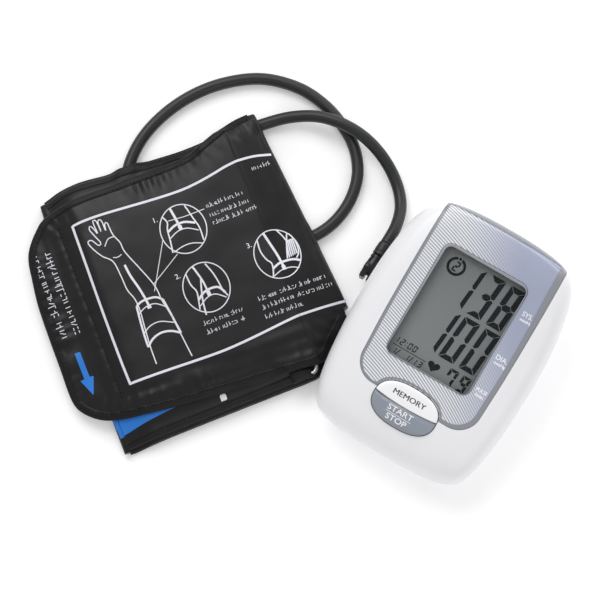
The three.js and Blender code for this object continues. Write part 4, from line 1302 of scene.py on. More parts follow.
def panel_text(name, word, px, py, size, width, bold=0.01, heavy=()):
    cx, cy = 0.534 * px, 0.5366 * py - 5.77
    tv, tf = text_mesh(word, size, width, bold)
    copies = []
    for k, dx in enumerate((0,) + tuple(heavy)):
        def place(x, y, h):
            ux, uy = face_xy(x + cx + dx, y + cy)
            return unit(on_skin(ux, uy, 0.02 + h + 0.004 * k))
        copies.append(slab(tv, tf, place, 0.03))
    v, f, _ = merge(*copies)
    make(name, v, f, INK_LABEL, smooth=0)


panel_text("word_sys", "SYS.", 60.3, 68.9, 2.8, 0.95, 0.014)
panel_text("word_sys_unit", "mmHg", 61.8, 62.2, 2.2, 1.12, 0.0, (-0.12, 0.12))
panel_text("word_dia", "DIA.", 60.1, 17.7, 2.8, 1.0, 0.014)
panel_text("word_dia_unit", "mmHg", 60.7, 11.2, 2.2, 1.08, 0.0, (-0.12, 0.12))
panel_text("word_pulse", "PULSE", 58.8, -20.4, 2.05, 0.9, 0.01, (-0.06, 0.06))
panel_text("word_pulse_unit", "/min.", 59.1, -25.6, 2.05, 0.95, 0.0, (-0.12, 0.12))

# ---------------------------------------------------------------- air plug and sleeve
plug = temp(lathe([(0, -61.7), (2.6, -61.7), (3.7, -61.3), (4.2, -60.5), (4.3, -59.6), (4.3, -54.6), (4.1, -54.0), (3.3, -53.7), (3.1, -53.4),
                   (3.1, -50.7), (2.3, -50.5), (2.2, -50.3), (2.2, -45.2), (2.45, -44.8), (2.2, -44.2), (2.2, -43.4), (2.42, -43.0), (2.1, -42.0), (1.9, -40.7), (0, -40.6)],
                  (0, PORT_Y, PORT_Z), "x", 48))
csg(plug, temp(lathe([(0, 14.2), (2.2, 14.3), (3.4, 14.9), (4.05, 16.0), (4.15, 17.2), (4.15, 23.2), (3.85, 23.4), (3.8, 23.9), (3.85, 24.4), (4.1, 24.6), (4.1, 26.0), (3.6, 26.6), (0, 26.6)],
                     (PLUG_X, 0, PORT_Z), "y", 48)), "UNION")
for x0, x1, ylo, w in ((PLUG_X - 4.0, PLUG_X - 0.7, 11.0, 3.2), (PLUG_X + 0.8, PLUG_X + 3.2, 10.4, 2.6)):
    grip = round_rect(x0, x1, ylo, PORT_Y + 1.5, 1.0, 5)
    csg(plug, temp(prism(grip, PORT_Z - w, PORT_Z + w)), "UNION")
for k in range(3):
    yk = 12.2 + 1.7 * k
    csg(plug, temp(lathe([(0, -3.6), (0.42, -3.6), (0.42, 3.6), (0, 3.6)], (PLUG_X - 4.05, yk, PORT_Z), "z", 12)), "DIFFERENCE")
finish_mesh(plug, "plug_black", GLOSS_BLACK, replaces="air_plug", body="hose_plug", smooth=38)
v, f = lathe([(2.95, 26.9), (3.7, 26.95), (4.1, 27.4), (4.1, 28.6), (3.95, 29.0), (4.05, 29.5), (4.02, 31), (3.92, 33.6), (3.8, 34.9), (3.5, 35.2), (2.95, 35.2), (2.9, 31)],
             (PLUG_X, 0, PORT_Z), "y", 44)
prof = [(0, 26.9), (3.7, 26.95), (4.1, 27.4), (4.1, 28.6), (3.92, 28.95), (4.05, 29.4), (4.02, 31), (3.92, 33.6), (3.8, 34.8), (3.5, 35.2), (0, 35.2)]
v, f = lathe(prof, (PLUG_X, 0, PORT_Z), "y", 44)
sleeve = make("sleeve_black", [unit(p) for p in v], f, HOSE, smooth=40, body="hose_plug", replaces="hose_sleeve")
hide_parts("air_hose")
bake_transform(hose)


# ================================================================ cuff (cuff frame, mm)
A_PLAN = [(-203.4, 48.3), (-201.6, 42.7), (-196.4, 36.4), (-190.6, 32.3), (-185.4, 30.2), (-171.5, 26.8), (-147.9, 23.6), (-110, 20.4),
          (-85, 18.4), (-72.7, 17.2), (-30, 17), (-40.4, 52.4), (-42.7, 90.7), (-46.1, 142.5), (-47.6, 164.6), (-50.5, 166.6), (-61.4, 167),
          (-77, 162), (-95, 157), (-130, 156.4), (-170, 156), (-183.7, 152.8), (-187.8, 149.7), (-193.5, 143.8), (-197.3, 138.3),
          (-199.2, 133), (-200.6, 124), (-202.6, 108.5), (-203.2, 92), (-203.4, 70)]
B_PLAN = [(-187, 11.4), (-184.4, 9.4), (-174.2, 10), (-160, 10.6), (-75.2, 10.9), (-30, 11), (-40.4, 52.4), (-42.7, 90.7), (-46.1, 142.5),
          (-47.6, 163), (-50.5, 165.4), (-75, 164.2), (-97.2, 164.2), (-112.9, 165.2), (-137.9, 166.2), (-155.5, 168), (-163, 167.8),
          (-170.6, 167), (-179, 165.7), (-182.6, 163.2), (-185, 120), (-186.4, 70), (-187.2, 30)]


def unit_x(p):
    return p[0] * CA - p[1] * SA


def right_edge(y):
    """The right-hand fold's outermost line."""
    return float(np.interp(y, [11, 30, 52.4, 90.7, 142.5, 164.6, 170], [-38.2, -39.2, -40.4, -42.7, -46.1, -47.6, -48.0]))


def left_edge(y):
    return float(np.interp(y, [0, 30, 70, 120, 163.2, 170], [-187.2, -187.2, -186.4, -185, -182.6, -182.3]))


def chamfer_x(limit, y):
    return (limit + y * SA) / CA


def rounded(line, per=6):
    return [tuple(q) for q in catmull(line, per)]


FOLD = 3.0                                    # the folds' own depth in plan
# each free edge runs from the right fold, round the corner by the monitor, along the front ...
A_FRONT = [(right_edge(44.5) - FOLD, 44.5), (-44.5, 36.6), (-49.5, 31.8), (-56.8, 25.2), (-62.2, 20.0), (-65.6, 17.6), (-70, 17.0), (-76, 17.4), (-85, 18.4),
           (-110, 20.4), (-147.9, 23.6), (-171.5, 26.8), (-185.4, 30.2), (-190.6, 32.3), (-196.4, 36.4), (-201.6, 42.7), (-203.4, 48.3), (-203.4, 70), (-203.2, 92),
           (-202.6, 108.5), (-200.6, 124), (-199.2, 133), (-197.3, 138.3), (-193.5, 143.8), (-187.8, 149.7), (-183.7, 152.8), (-170, 156), (-130, 156.4), (-95, 157),
           (-77, 162.4), (-61.4, 168.2), (-52.0, 169.0)]
C_FRONT = [(right_edge(38) - FOLD, 38.0), (-46, 29.8), (-55.1, 22.9), (-61.6, 17.4), (-66.2, 13.4), (-70.5, 11.4), (-78, 10.9), (-90, 10.9), (-130, 10.8), (-160, 10.6),
           (-174.2, 10.1), (-181.5, 9.8), (left_edge(10) + FOLD, 10.0)]
C_FAR = [(left_edge(163) + FOLD, 164.6), (-170.6, 167), (-163, 167.8), (-155.5, 168), (-137.9, 166.2), (-112.9, 165.2), (-97.2, 164.2), (-75, 165.0), (-58, 167.8), (right_edge(165) - FOLD, 168.6)]
B_END = -84.5
B_FRONT = [(B_END, 13.3), (-100, 13.1), (-130, 12.9), (-160, 12.8), (-174.2, 12.4), (-181.5, 12.2), (left_edge(12) + FOLD, 12.2)]
B_FAR = [(left_edge(161) + FOLD, 162.2), (-170.6, 164.6), (-163, 165.4), (-155.5, 165.6), (-137.9, 163.9), (-112.9, 162.9), (-97.2, 161.9), (B_END, 161.8)]
A_EDGE = rounded(A_FRONT)
C_FRONT_E, C_FAR_E = rounded(C_FRONT), rounded(C_FAR)
B_FRONT_E, B_FAR_E = rounded(B_FRONT), rounded(B_FAR)


def side_line(edge, inset, y0, y1, n=40):
    return [(edge(y) + inset, y) for y in np.linspace(y0, y1, n)]


A_POLY = A_EDGE + side_line(right_edge, -FOLD, A_EDGE[-1][1], A_EDGE[0][1])[1:-1]
C_POLY = C_FRONT_E + side_line(left_edge, FOLD, C_FRONT_E[-1][1], C_FAR_E[0][1])[1:-1] + C_FAR_E + side_line(right_edge, -FOLD, C_FAR_E[-1][1], C_FRONT_E[0][1])[1:-1]
B_POLY = B_FRONT_E + side_line(left_edge, FOLD, B_FRONT_E[-1][1], B_FAR_E[0][1])[1:-1] + B_FAR_E

# height maps, one cell a millimetre
GX, GY = np.arange(-222.0, -16.0, 1.0), np.arange(-10.0, 190.0, 1.0)
PX, PY = np.meshgrid(GX, GY)
FLAT = np.stack([PX.ravel(), PY.ravel()], 1)


def blur(m, s):
    r = int(math.ceil(3 * s))
    k = np.exp(-0.5 * (np.arange(-r, r + 1) / s) ** 2)
    k /= k.sum()
    for axis in (0, 1):
        pad = [(0, 0), (0, 0)]
        pad[axis] = (r, r)
        q = np.pad(m, pad, mode="edge")
        m = sum(w * np.take(q, range(i, i + m.shape[axis]), axis=axis) for i, w in enumerate(k))
    return m


def sample(m, x, y):
    fx = np.clip((np.asarray(x, float) - GX[0]), 0, len(GX) - 1.001)
    fy = np.clip((np.asarray(y, float) - GY[0]), 0, len(GY) - 1.001)
    ix, iy = fx.astype(int), fy.astype(int)
    u, v = fx - ix, fy - iy
    return (m[iy, ix] * (1 - u) * (1 - v) + m[iy, ix + 1] * u * (1 - v) + m[iy + 1, ix] * (1 - u) * v + m[iy + 1, ix + 1] * u * v)


def smooth01(t):
    t = np.clip(t, 0, 1)
    return t * t * (3 - 2 * t)


def field(fn):
    return np.array([fn(x, y) for x, y in FLAT]).reshape(PX.shape)


def edge_dist(lines):
    d = np.full(len(FLAT), 1e9)
    for ln in lines:
        d = np.minimum(d, seg_distance(FLAT, ln, closed=False))
    return d.reshape(PX.shape)


def noise_field(scale, seed, stretch=(1, 1), turn=0.0):
    c, s = math.cos(turn), math.sin(turn)
    return field(lambda x, y: noise.noise(Vector(((x * c + y * s) / scale / stretch[0], (-x * s + y * c) / scale / stretch[1], seed))))


hose_c = np.array([(*to_cuff(p[0], p[1]), p[2]) for p in hose_line])
near = np.full(len(FLAT), 1e9)
near_z = np.zeros(len(FLAT))
for p in hose_c:
    d = np.hypot(FLAT[:, 0] - p[0], FLAT[:, 1] - p[1])
    better = d < near
    near = np.where(better, d, near)
    near_z = np.where(better, p[2], near_z)
near, near_z = near.reshape(PX.shape), near_z.reshape(PX.shape)
END, BEFORE = to_cuff(-156, -58.6), to_cuff(-168.5, -49)
_l = math.hypot(END[0] - BEFORE[0], END[1] - BEFORE[1])
HUB = (END[0] + (END[0] - BEFORE[0]) / _l * 12, END[1] + (END[1] - BEFORE[1]) / _l * 12)
hub_d = np.hypot(PX - HUB[0], PY - HUB[1])
over_hose = (near_z + 3.95) * np.exp(-(np.maximum(0, near - 3.8) / 5.0) ** 2)
over_hub = 9.0 * np.exp(-(np.maximum(0, hub_d - 7.4) / 5.0) ** 2)
C_BOT = np.maximum(0.4, np.maximum(over_hose, over_hub))
side_l = smooth01((PX - field(lambda x, y: left_edge(y) + FOLD)) / 18)
side_r = smooth01((field(lambda x, y: right_edge(y) - FOLD) - PX) / 16)
dC = edge_dist([C_FRONT_E, C_FAR_E])
pad = 10.4 - 6.6 * np.exp(-dC / 6.8)
pad = pad * (0.42 + 0.58 * side_l) * (0.88 + 0.12 * side_r)
C_TOP = np.maximum(pad, C_BOT + 1.6)
C_TOP = np.maximum(blur(C_TOP, 1.6), C_BOT + 1.4) + 0.22 * noise_field(24, 3.1)
C_TOP = np.maximum(C_TOP, C_BOT + 1.3)

dB = edge_dist([B_FRONT_E, B_FAR_E])
in_C = inside(FLAT, C_POLY).reshape(PX.shape)
B_BOT = C_TOP + 0.3 + 0.85 * np.exp(-dB / 6)
B_THICK = 2.7 - 1.4 * np.exp(-dB / 5)
B_TOP = B_BOT + B_THICK + 0.18 * noise_field(20, 8.3) + 0.12 * noise_field(7, 5.3)

# what the top layer rests on: the layer below where there is one, the ring and its loop, and nothing outside
in_B = inside(FLAT, B_POLY).reshape(PX.shape)
in_C_wide = inside(FLAT, [(x, y) for x, y in C_POLY]).reshape(PX.shape)
rest = np.where(in_B, B_TOP + 0.35, np.where(in_C_wide, C_TOP + 0.4, 0.0))
loop = (PX > -86.6) & (PX < -67.6) & (PY > 13) & (PY < 163.5)
rest = np.where(loop, np.maximum(rest, 14.35), rest)
fold_l = (PX <= left_edge(80) + FOLD + 1) & (PX >= left_edge(80) - 0.5) & (PY > 14) & (PY < 162)
rest = np.where(fold_l, np.maximum(rest, sample(B_TOP, -182.5 + 0 * PX, PY) + 0.3), rest)
A_BOT = rest.copy()
for _ in range(26):
    A_BOT = np.maximum(blur(A_BOT, 2.4), rest)
A_BOT = np.maximum(blur(A_BOT, 1.2), rest)
over = field(lambda x, y: max(0.0, left_edge(y) - x))
A_BOT = np.maximum(A_BOT, 7.6 - 0.12 * over)
A_BOT = A_BOT + 0.35 * np.exp(-edge_dist([A_EDGE]) / 4)

# wrinkles: puckers where the tape gathers the edge, pinches at the seam, soft folds along the front
edge = resample(A_EDGE, 700, closed=False)
s_of = np.concatenate([[0], np.cumsum(np.linalg.norm(np.diff(edge, axis=0), axis=1))])
best, s_map = np.full(len(FLAT), 1e9), np.zeros(len(FLAT))
for p, s in zip(edge, s_of):
    d = (FLAT[:, 0] - p[0]) ** 2 + (FLAT[:, 1] - p[1]) ** 2
    better = d < best
    best, s_map = np.where(better, d, best), np.where(better, s, s_map)
dA, s_map = np.sqrt(best).reshape(PX.shape), s_map.reshape(PX.shape)
s_line = np.arange(0, s_of[-1] + 2, 1.0)
amp_line = np.array([0.5 + 0.9 * noise.noise(Vector((s / 27, 4.4, 0))) for s in s_line])
ph_line = np.array([s / 8.2 + 0.9 * noise.noise(Vector((s / 19, 9.1, 0))) for s in s_line])
amp = np.interp(s_map, s_line, np.clip(amp_line, 0.08, 1.2))
phase = np.interp(s_map, s_line, ph_line)
gather = np.sin(2 * np.pi * phase) * amp * np.exp(-(np.maximum(0, dA - 4.5) / 7.0) ** 2) * smooth01((dA - 1.5) / 3.5)
broad = 0.55 * noise_field(34, 1.7) + 0.32 * noise_field(15, 6.2)
front_zone = smooth01((50 - PY) / 14) * smooth01((PX + 190) / 30)
furrow = 0.72 * noise_field(5.2, 12.5, stretch=(6.5, 1), turn=math.radians(-4.2)) * front_zone
corner = smooth01((PY - 128) / 16) * smooth01((-160 - PX) / 14)
furrow = furrow + 0.95 * noise_field(6.0, 21.5, stretch=(4.5, 1), turn=math.radians(42)) * corner
left_zone = smooth01((-178 - PX) / 10) * smooth01((PY - 40) / 10)
furrow = furrow + 0.6 * noise_field(6.0, 31.5, stretch=(4, 1), turn=math.radians(80)) * left_zone
right_zone = smooth01((PX + 66) / 18)
furrow = furrow + 0.55 * noise_field(9.0, 41.5, stretch=(5, 1), turn=math.radians(88)) * right_zone
SEAM_X = -177.1
pinch_line = np.array([noise.noise(Vector((y / 3.4, 2.2, 7))) for y in GY])
pinch = 0.5 * np.interp(PY, GY, pinch_line) * np.exp(-((PX - SEAM_X) / 5.5) ** 2)
seam_on = smooth01((PY - 36) / 3) * smooth01((147 - PY) / 3)
groove = -0.8 * np.exp(-((PX - SEAM_X) / 0.9) ** 2) * seam_on
A_WRINKLE = gather * 0.95 + broad + furrow + (pinch + groove) * 1.0
A_THICK = 3.1 - 1.55 * np.exp(-dA / 5.5)
A_TOP = A_BOT + A_THICK + A_WRINKLE
A_TOP = np.maximum(A_TOP, A_BOT + 0.9)


def top_of(m):
    return lambda x, y, d: sample(m, x, y)


def cloth_part(poly, top, bot, grid):
    return pillow(resample(np.array(poly), max(120, int(len(poly) * 1.0))), top_of(top), top_of(bot), grid=grid, rings=(0.7, 1.5), frame_of=None)


def dense(poly, step):
    p = np.asarray(poly, float)
    length = float(np.sum(np.linalg.norm(np.roll(p, -1, 0) - p, axis=1)))
    return resample(p, int(length / step))


a_part = pillow(dense(A_POLY, 1.5), top_of(A_TOP), top_of(A_BOT), grid=1.35, rings=(0.6, 1.3), frame_of=None)
b_part = pillow(dense(B_POLY, 1.8), top_of(B_TOP), top_of(B_BOT), grid=2.2, rings=(0.7, 1.5), frame_of=None)
c_part = pillow(dense(C_POLY, 1.8), top_of(C_TOP), top_of(C_BOT), grid=2.2, rings=(0.7, 1.5), frame_of=None)


def fold_part(edge_fn, sign, y0, y1, top_map, top_under, low_map, low_over, n=90, m=12):
    """A turned-over fold: an outer skin from the upper layer's top round to the lower layer's underside, and an inner one back."""
    rings = []
    for y in np.linspace(y0, y1, n):
        e = edge_fn(y)
        x_in = e - sign * (FOLD + 0.6)
        zt, zu = float(sample(top_map, x_in, y)), float(sample(top_under, x_in, y))
        zl, zo = float(sample(low_map, x_in, y)), float(sample(low_over, x_in, y))
        ring_pts = []
        mid, half = (zt + zl) / 2, (zt - zl) / 2
        for k in range(m + 1):
            t = math.pi / 2 - math.pi * k / m
            ring_pts.append((x_in + sign * (FOLD + 0.6) * abs(math.cos(t)) ** 0.85, y, mid + half * math.copysign(abs(math.sin(t)) ** 0.9, math.sin(t))))
        mid2, half2 = (zu + zo) / 2, max((zu - zo) / 2, 0.05)
        for k in range(m + 1):
            t = -math.pi / 2 + math.pi * k / m
            ring_pts.append((x_in + sign * (FOLD - 1.2) * abs(math.cos(t)), y, mid2 + half2 * math.sin(t)))
        rings.append(ring_pts)
    k = len(rings[0])
    verts = [p for r in rings for p in r]
    faces = []
    for i in range(n - 1):
        for j in range(k):
            a, b = i * k + j, i * k + (j + 1) % k
            faces.append((a, b, b + k, a + k))
    faces += [tuple(reversed(range(k))), tuple((n - 1) * k + j for j in range(k))]
    return verts, outward(verts, faces)


fold_r = fold_part(right_edge, 1, A_EDGE[0][1] - 2.5, 168.4, A_TOP, A_BOT, C_BOT, C_TOP)
fold_l_part = fold_part(left_edge, -1, 10.6, 163.2, B_TOP, B_BOT, C_BOT, C_TOP)
v, f, idx = merge(a_part, b_part, c_part, fold_r, fold_l_part)
start = len(f) - len(fold_l_part[1])                 # the index band runs on round the left fold
for i in range(start, len(f)):
    c = np.mean([v[q] for q in f[i]], axis=0)
    if 19.9 < c[1] < 33 and c[2] > 6.0 and len(f[i]) == 4:
        idx[i] = 1
cloth = make("cuff_cloth", [cuff(p) for p in v], f, [NYLON, BLUE], smooth=60, replaces="cuff_wrap", index=idx)
ar = merge(a_part, fold_r)
A_BVH = BVHTree.FromPolygons([tuple(p) for p in ar[0]], [tuple(q) for q in ar[1]])
B_BVH = BVHTree.FromPolygons([tuple(p) for p in b_part[0]], [tuple(q) for q in b_part[1]])


def on_cloth(x, y, h, bvh=A_BVH):
    loc, nrm, idx, dist = bvh.ray_cast(Vector((x, y, 60)), Vector((0, 0, -1)))
    if loc is None:
        loc, nrm, idx, dist = bvh.find_nearest(Vector((x, y, 17)))
    return (loc.x, loc.y, loc.z + h)


def inward(line, poly):
    p = np.asarray(line, float)
    tan = np.gradient(p, axis=0)
    tan /= np.linalg.norm(tan, axis=1, keepdims=True)
    nrm = np.stack([-tan[:, 1], tan[:, 0]], 1)
    test = inside(p + nrm * 2.0, poly)
    return nrm if test.mean() > 0.5 else -nrm


def binding(name, line, poly, top, bot, width=4.0, lift=0.42, step=1.6):
    """Sewn tape folded over an edge: it follows the cloth above and below and is gathered a little along its length."""
    p = resample(np.array(line), int(np.sum(np.linalg.norm(np.diff(np.array(line), axis=0), axis=1)) / step), closed=False)
    nr = inward(p, poly)
    verts = []
    for i, (q, n) in enumerate(zip(p, nr)):
        ruck = 0.12 * noise.noise(Vector((i * step / 3.2, 5.5, 1))) + 0.08 * math.sin(i * step * 2 * math.pi / 4.4)
        w = width + 0.35 * noise.noise(Vector((i * step / 12, 1.5, 4)))

        def at(inset, m):
            return float(sample(m, q[0] + n[0] * inset, q[1] + n[1] * inset))
        zt0, zb0 = at(0.3, top), at(0.3, bot)
        mid, half = (zt0 + zb0) / 2, (zt0 - zb0) / 2
        prof = [(w, at(w, top) - 0.1), (w, at(w, top) + 0.16), (w - 0.35, at(w - 0.3, top) + lift + ruck), (w * 0.55, at(w * 0.55, top) + lift + 0.06 + ruck),
                (0.9, at(0.9, top) + lift + ruck * 0.5), (0.0, mid + half + 0.28), (-0.5, mid + half * 0.55), (-0.68, mid), (-0.5, mid - half * 0.55), (0.0, mid - half - 0.12),
                (0.9, at(0.9, bot) - 0.28), (w - 0.4, at(w - 0.4, bot) - 0.28), (w, at(w, bot) + 0.1)]
        for inset, z in prof:
            verts.append((q[0] + n[0] * inset, q[1] + n[1] * inset, max(z, 0.06)))
    k = len(prof)
    m = len(p)
    faces = [(i * k + j, i * k + (j + 1) % k, (i + 1) * k + (j + 1) % k, (i + 1) * k + j) for i in range(m - 1) for j in range(k)]
    faces += [tuple(reversed(range(k))), tuple((m - 1) * k + j for j in range(k))]
    faces = outward(verts, faces)
    return make(name, [cuff(q) for q in verts], faces, BINDING, smooth=50)


bind_a = binding("binding_top_flap", A_EDGE[2:], A_POLY, A_TOP, A_BOT)
bind_c1 = binding("binding_base_front", C_FRONT_E, C_POLY, C_TOP, C_BOT, width=3.6)
bind_c2 = binding("binding_base_far", C_FAR_E, C_POLY, C_TOP, C_BOT, width=3.6)
bind_b1 = binding("binding_tail_front", B_FRONT_E, B_POLY, B_TOP, B_BOT, width=3.4)
bind_b2 = binding("binding_tail_far", B_FAR_E, B_POLY, B_TOP, B_BOT, width=3.4)


def stitches(name, line, h_fn, pitch=2.6, long=1.9, r=0.17, mat=THREAD):
    """A run of lockstitches: small rounded thread lengths lying in the cloth."""
    p = np.asarray(line, float)
    s = np.concatenate([[0], np.cumsum(np.linalg.norm(np.diff(p, axis=0), axis=1))])
    verts, faces = [], []
    t = pitch * 0.5
    while t + long < s[-1]:
        a = np.array([np.interp(t, s, p[:, k]) for k in range(2)])
        b = np.array([np.interp(t + long, s, p[:, k]) for k in range(2)])
        d = (b - a) / max(np.linalg.norm(b - a), 1e-9)
        n = np.array([-d[1], d[0]])
        base = len(verts)
        for u, rr, dz in ((0, 0.25, -0.12), (0.18, 0.85, 0.05), (0.5, 1.0, 0.12), (0.82, 0.85, 0.05), (1, 0.25, -0.12)):
            c = a + (b - a) * u
            z = h_fn(c[0], c[1]) + dz
            for q in range(6):
                ang = 2 * math.pi * q / 6
                verts.append((c[0] + n[0] * r * rr * math.cos(ang), c[1] + n[1] * r * rr * math.cos(ang), z + r * rr * math.sin(ang)))
        ring_f = []
        for i in range(4):
            for q in range(6):
                ring_f.append((base + i * 6 + q, base + i * 6 + (q + 1) % 6, base + (i + 1) * 6 + (q + 1) % 6, base + (i + 1) * 6 + q))
        ring_f.append(tuple(base + q for q in reversed(range(6))))
        ring_f.append(tuple(base + 24 + q for q in range(6)))
        vv = verts[base:]
        vol = outward(vv, [tuple(i - base for i in g) for g in ring_f])
        faces += [tuple(i + base for i in g) for g in vol]
        t += pitch
    return make(name, [cuff(q) for q in verts], faces, mat, smooth=60)


def offset_line(line, poly, d, n=None):
    p = resample(np.array(line), n or max(20, int(len(line) * 1.5)), closed=False)
    return p + inward(p, poly) * d


def cloth_h(m, lift):
    return lambda x, y: float(sample(m, x, y)) + lift


stitches("stitch_top_flap", offset_line(A_EDGE[2:], A_POLY, 3.05), cloth_h(A_TOP, 0.5))
stitches("stitch_base_front", offset_line(C_FRONT_E, C_POLY, 2.7), cloth_h(C_TOP, 0.5))
stitches("stitch_tail_front", offset_line(B_FRONT_E, B_POLY, 2.6), cloth_h(B_TOP, 0.5))
stitches("stitch_seam_1", np.array([(SEAM_X, y) for y in np.linspace(37.5, 145.5, 60)]), cloth_h(A_TOP, 0.12))

# blue index band and white index mark on the tail's front edge
def patch(name, poly, h0, h1, mat, m=None, grid=2.0, replaces=()):
    m = B_TOP if m is None else m
    v, f = pillow(dense(poly, 1.2), lambda x, y, d: sample(m, x, y) + h1 - 0.1 * np.exp(-d / 0.3), lambda x, y, d: sample(m, x, y) + h0, grid=grid, rings=(0.4,), frame_of=None)
    return make(name, [cuff(p) for p in v], f, mat, smooth=50, replaces=replaces)


patch("index_band_blue", [(-184.0, 19.9), (-172, 21.5), (-160, 22.8), (-150, 23.7), (-140, 24.2), (-140, 33), (-183.8, 33)], 0.0, 0.22, BLUE, replaces="index_band")
patch("index_mark", [(-126.4, 17.2), (-122.9, 17.1), (-122.8, 20.6), (-126.3, 20.7)], 0.05, 0.3, INK_WHITE, grid=1.0)

# D-ring: a long wire loop lying between the layers, held by the tail's end
RING = (-82, -69, 12, 161.6)
path = round_rect(RING[0] + 1.25, RING[1] - 1.25, RING[2] + 1.25, RING[3] - 1.25, 3.2, 10)
dp = []
for (x0, y0), (x1, y1) in zip(path, path[1:] + path[:1]):
    steps = max(1, int(math.hypot(x1 - x0, y1 - y0) / 6))
    dp += [(x0 + (x1 - x0) * k / steps, y0 + (y1 - y0) * k / steps) for k in range(steps)]
wire = [(1.22 * math.cos(a), 12.5 + 1.0 * math.sin(a)) for a in np.linspace(0, 2 * math.pi, 17)[:-1]]
v, f = sweep_ring(dp, wire)
make("ring_wire", [cuff(p) for p in v], f, STEEL, smooth=60, replaces="d_ring")
# the tail's end turned round the ring's bar
n_l = 24
lv, lf = [], []
ys = np.concatenate([np.linspace(11.2, 22, 12)[:-1], np.linspace(22, 158, 62)])
for y in ys:
    w = 2.9 * float(smooth01((21.0 - y) / 5))       # it spreads over the ring's near end
    loop_outer = [(-82.0 + w + (3.6 + w) * math.cos(a), 12.55 + 1.6 * math.sin(a)) for a in np.linspace(0, 2 * math.pi, 25)[:-1]]
    loop_inner = [(-80.75 + w * 0.62 + (1.62 + w * 1.38) * math.cos(a), 12.5 + 1.22 * math.sin(a)) for a in np.linspace(0, 2 * math.pi, 25)[:-1]]
    lv += [(x, y, z + 0.05 * math.sin(y * 1.3)) for x, z in loop_outer] + [(x, y, z) for x, z in loop_inner]
for i in range(len(ys) - 1):
    o = i * 2 * n_l
    for j in range(n_l):
        a, b = o + j, o + (j + 1) % n_l
        lf.append((a, b, b + 2 * n_l, a + 2 * n_l))
        a, b = o + n_l + j, o + n_l + (j + 1) % n_l
        lf.append((b, a, a + 2 * n_l, b + 2 * n_l))
for o in (0, (len(ys) - 1) * 2 * n_l):
    for j in range(n_l):
        q = (o + j, o + (j + 1) % n_l, o + n_l + (j + 1) % n_l, o + n_l + j)
        lf.append(tuple(reversed(q)) if o == 0 else q)
lf = outward(lv, lf)
make("ring_loop", [cuff(p) for p in lv], lf, BINDING, smooth=50)

# hook patch on the top flap's underside
hook_poly = round_rect(-198.5, -160, 50, 140, 3, 5)
hv2, hf2 = pillow(dense(hook_poly, 2.0), lambda x, y, d: sample(A_BOT, x, y) + 0.05, lambda x, y, d: sample(A_BOT, x, y) - 0.28 + 0.1 * np.exp(-d / 0.5), grid=2.4, rings=(0.5,), frame_of=None)
make("hook_tape", [cuff(p) for p in hv2], hf2, HOOK, smooth=50, replaces="hook_patch")


# ---------------------------------------------------------------- print on the top flap (cuff frame, mm)
ink_v, ink_f = [], []


def pic(x, y):                                 # drawing units of the flap's own picture -> mm
    return (-114.7 + 0.557 * x, 87.8 + 0.594 * y)


def ink(line, width, closed=False, step=1.3, lift=0.13, mm=False, curve=False):
    """A printed line: a thin ribbon lying on the cloth."""
    pts = [p if mm else pic(*p) for p in line]
    if curve:
        pts = [tuple(q) for q in catmull(pts, 8, closed=closed)]
    p = np.array(pts, float)
    q = np.vstack([p, p[:1]]) if closed else p
    length = float(np.sum(np.linalg.norm(np.diff(q, axis=0), axis=1)))
    n = max(3, int(length / step))
    if not closed and not curve and len(p) > 2:       # keep the corners
        parts = []
        for a, b in zip(p, p[1:]):
            k = max(1, int(np.linalg.norm(b - a) / step))
            parts += [a + (b - a) * i / k for i in range(k)]
        r = np.array(parts + [p[-1]])
    else:
        r = resample(p, n, closed=closed)
    tan = (np.roll(r, -1, 0) - np.roll(r, 1, 0)) if closed else np.gradient(r, axis=0)
    tan /= np.maximum(np.linalg.norm(tan, axis=1, keepdims=True), 1e-9)
    nr = np.stack([-tan[:, 1], tan[:, 0]], 1)
    base = len(ink_v)
    vv = []
    for c, m in zip(r, nr):
        a, b = c + m * width / 2, c - m * width / 2
        za, zb = on_cloth(a[0], a[1], 0)[2], on_cloth(b[0], b[1], 0)[2]
        vv += [(a[0], a[1], za + lift), (b[0], b[1], zb + lift), (b[0], b[1], zb - 0.05), (a[0], a[1], za - 0.05)]
    k = len(r)
    ff = []
    for i in range(k if closed else k - 1):
        j2 = (i + 1) % k
        for j in range(4):
            ff.append((i * 4 + j, i * 4 + (j + 1) % 4, j2 * 4 + (j + 1) % 4, j2 * 4 + j))
    if not closed:
        ff += [(3, 2, 1, 0), tuple((k - 1) * 4 + j for j in range(4))]
    ff = outward(vv, ff)
    ink_v.extend(vv)
    ink_f.extend(tuple(i + base for i in g) for g in ff)


def ring_line(cx, cy, rx, ry, a0=0, a1=360, n=72):
    return [(cx + rx * math.cos(math.radians(a)), cy + ry * math.sin(math.radians(a))) for a in np.linspace(a0, a1, n)]


# frame
ink([(119.8, 89.2), (100, 93), (75, 92), (50, 88), (25, 85.5), (0, 86), (-40, 89), (-75, 91.5), (-97, 91)], 1.4, curve=True)
ink([(-97.5, 91.5), (-98.4, 50), (-99.6, 0), (-100, -50), (-99.6, -73.5)], 1.38, curve=True)
ink([(-100, -73), (-60, -74.2), (0, -76), (40, -74), (80, -71), (110, -70.6), (134.2, -71.4)], 1.38, curve=True)
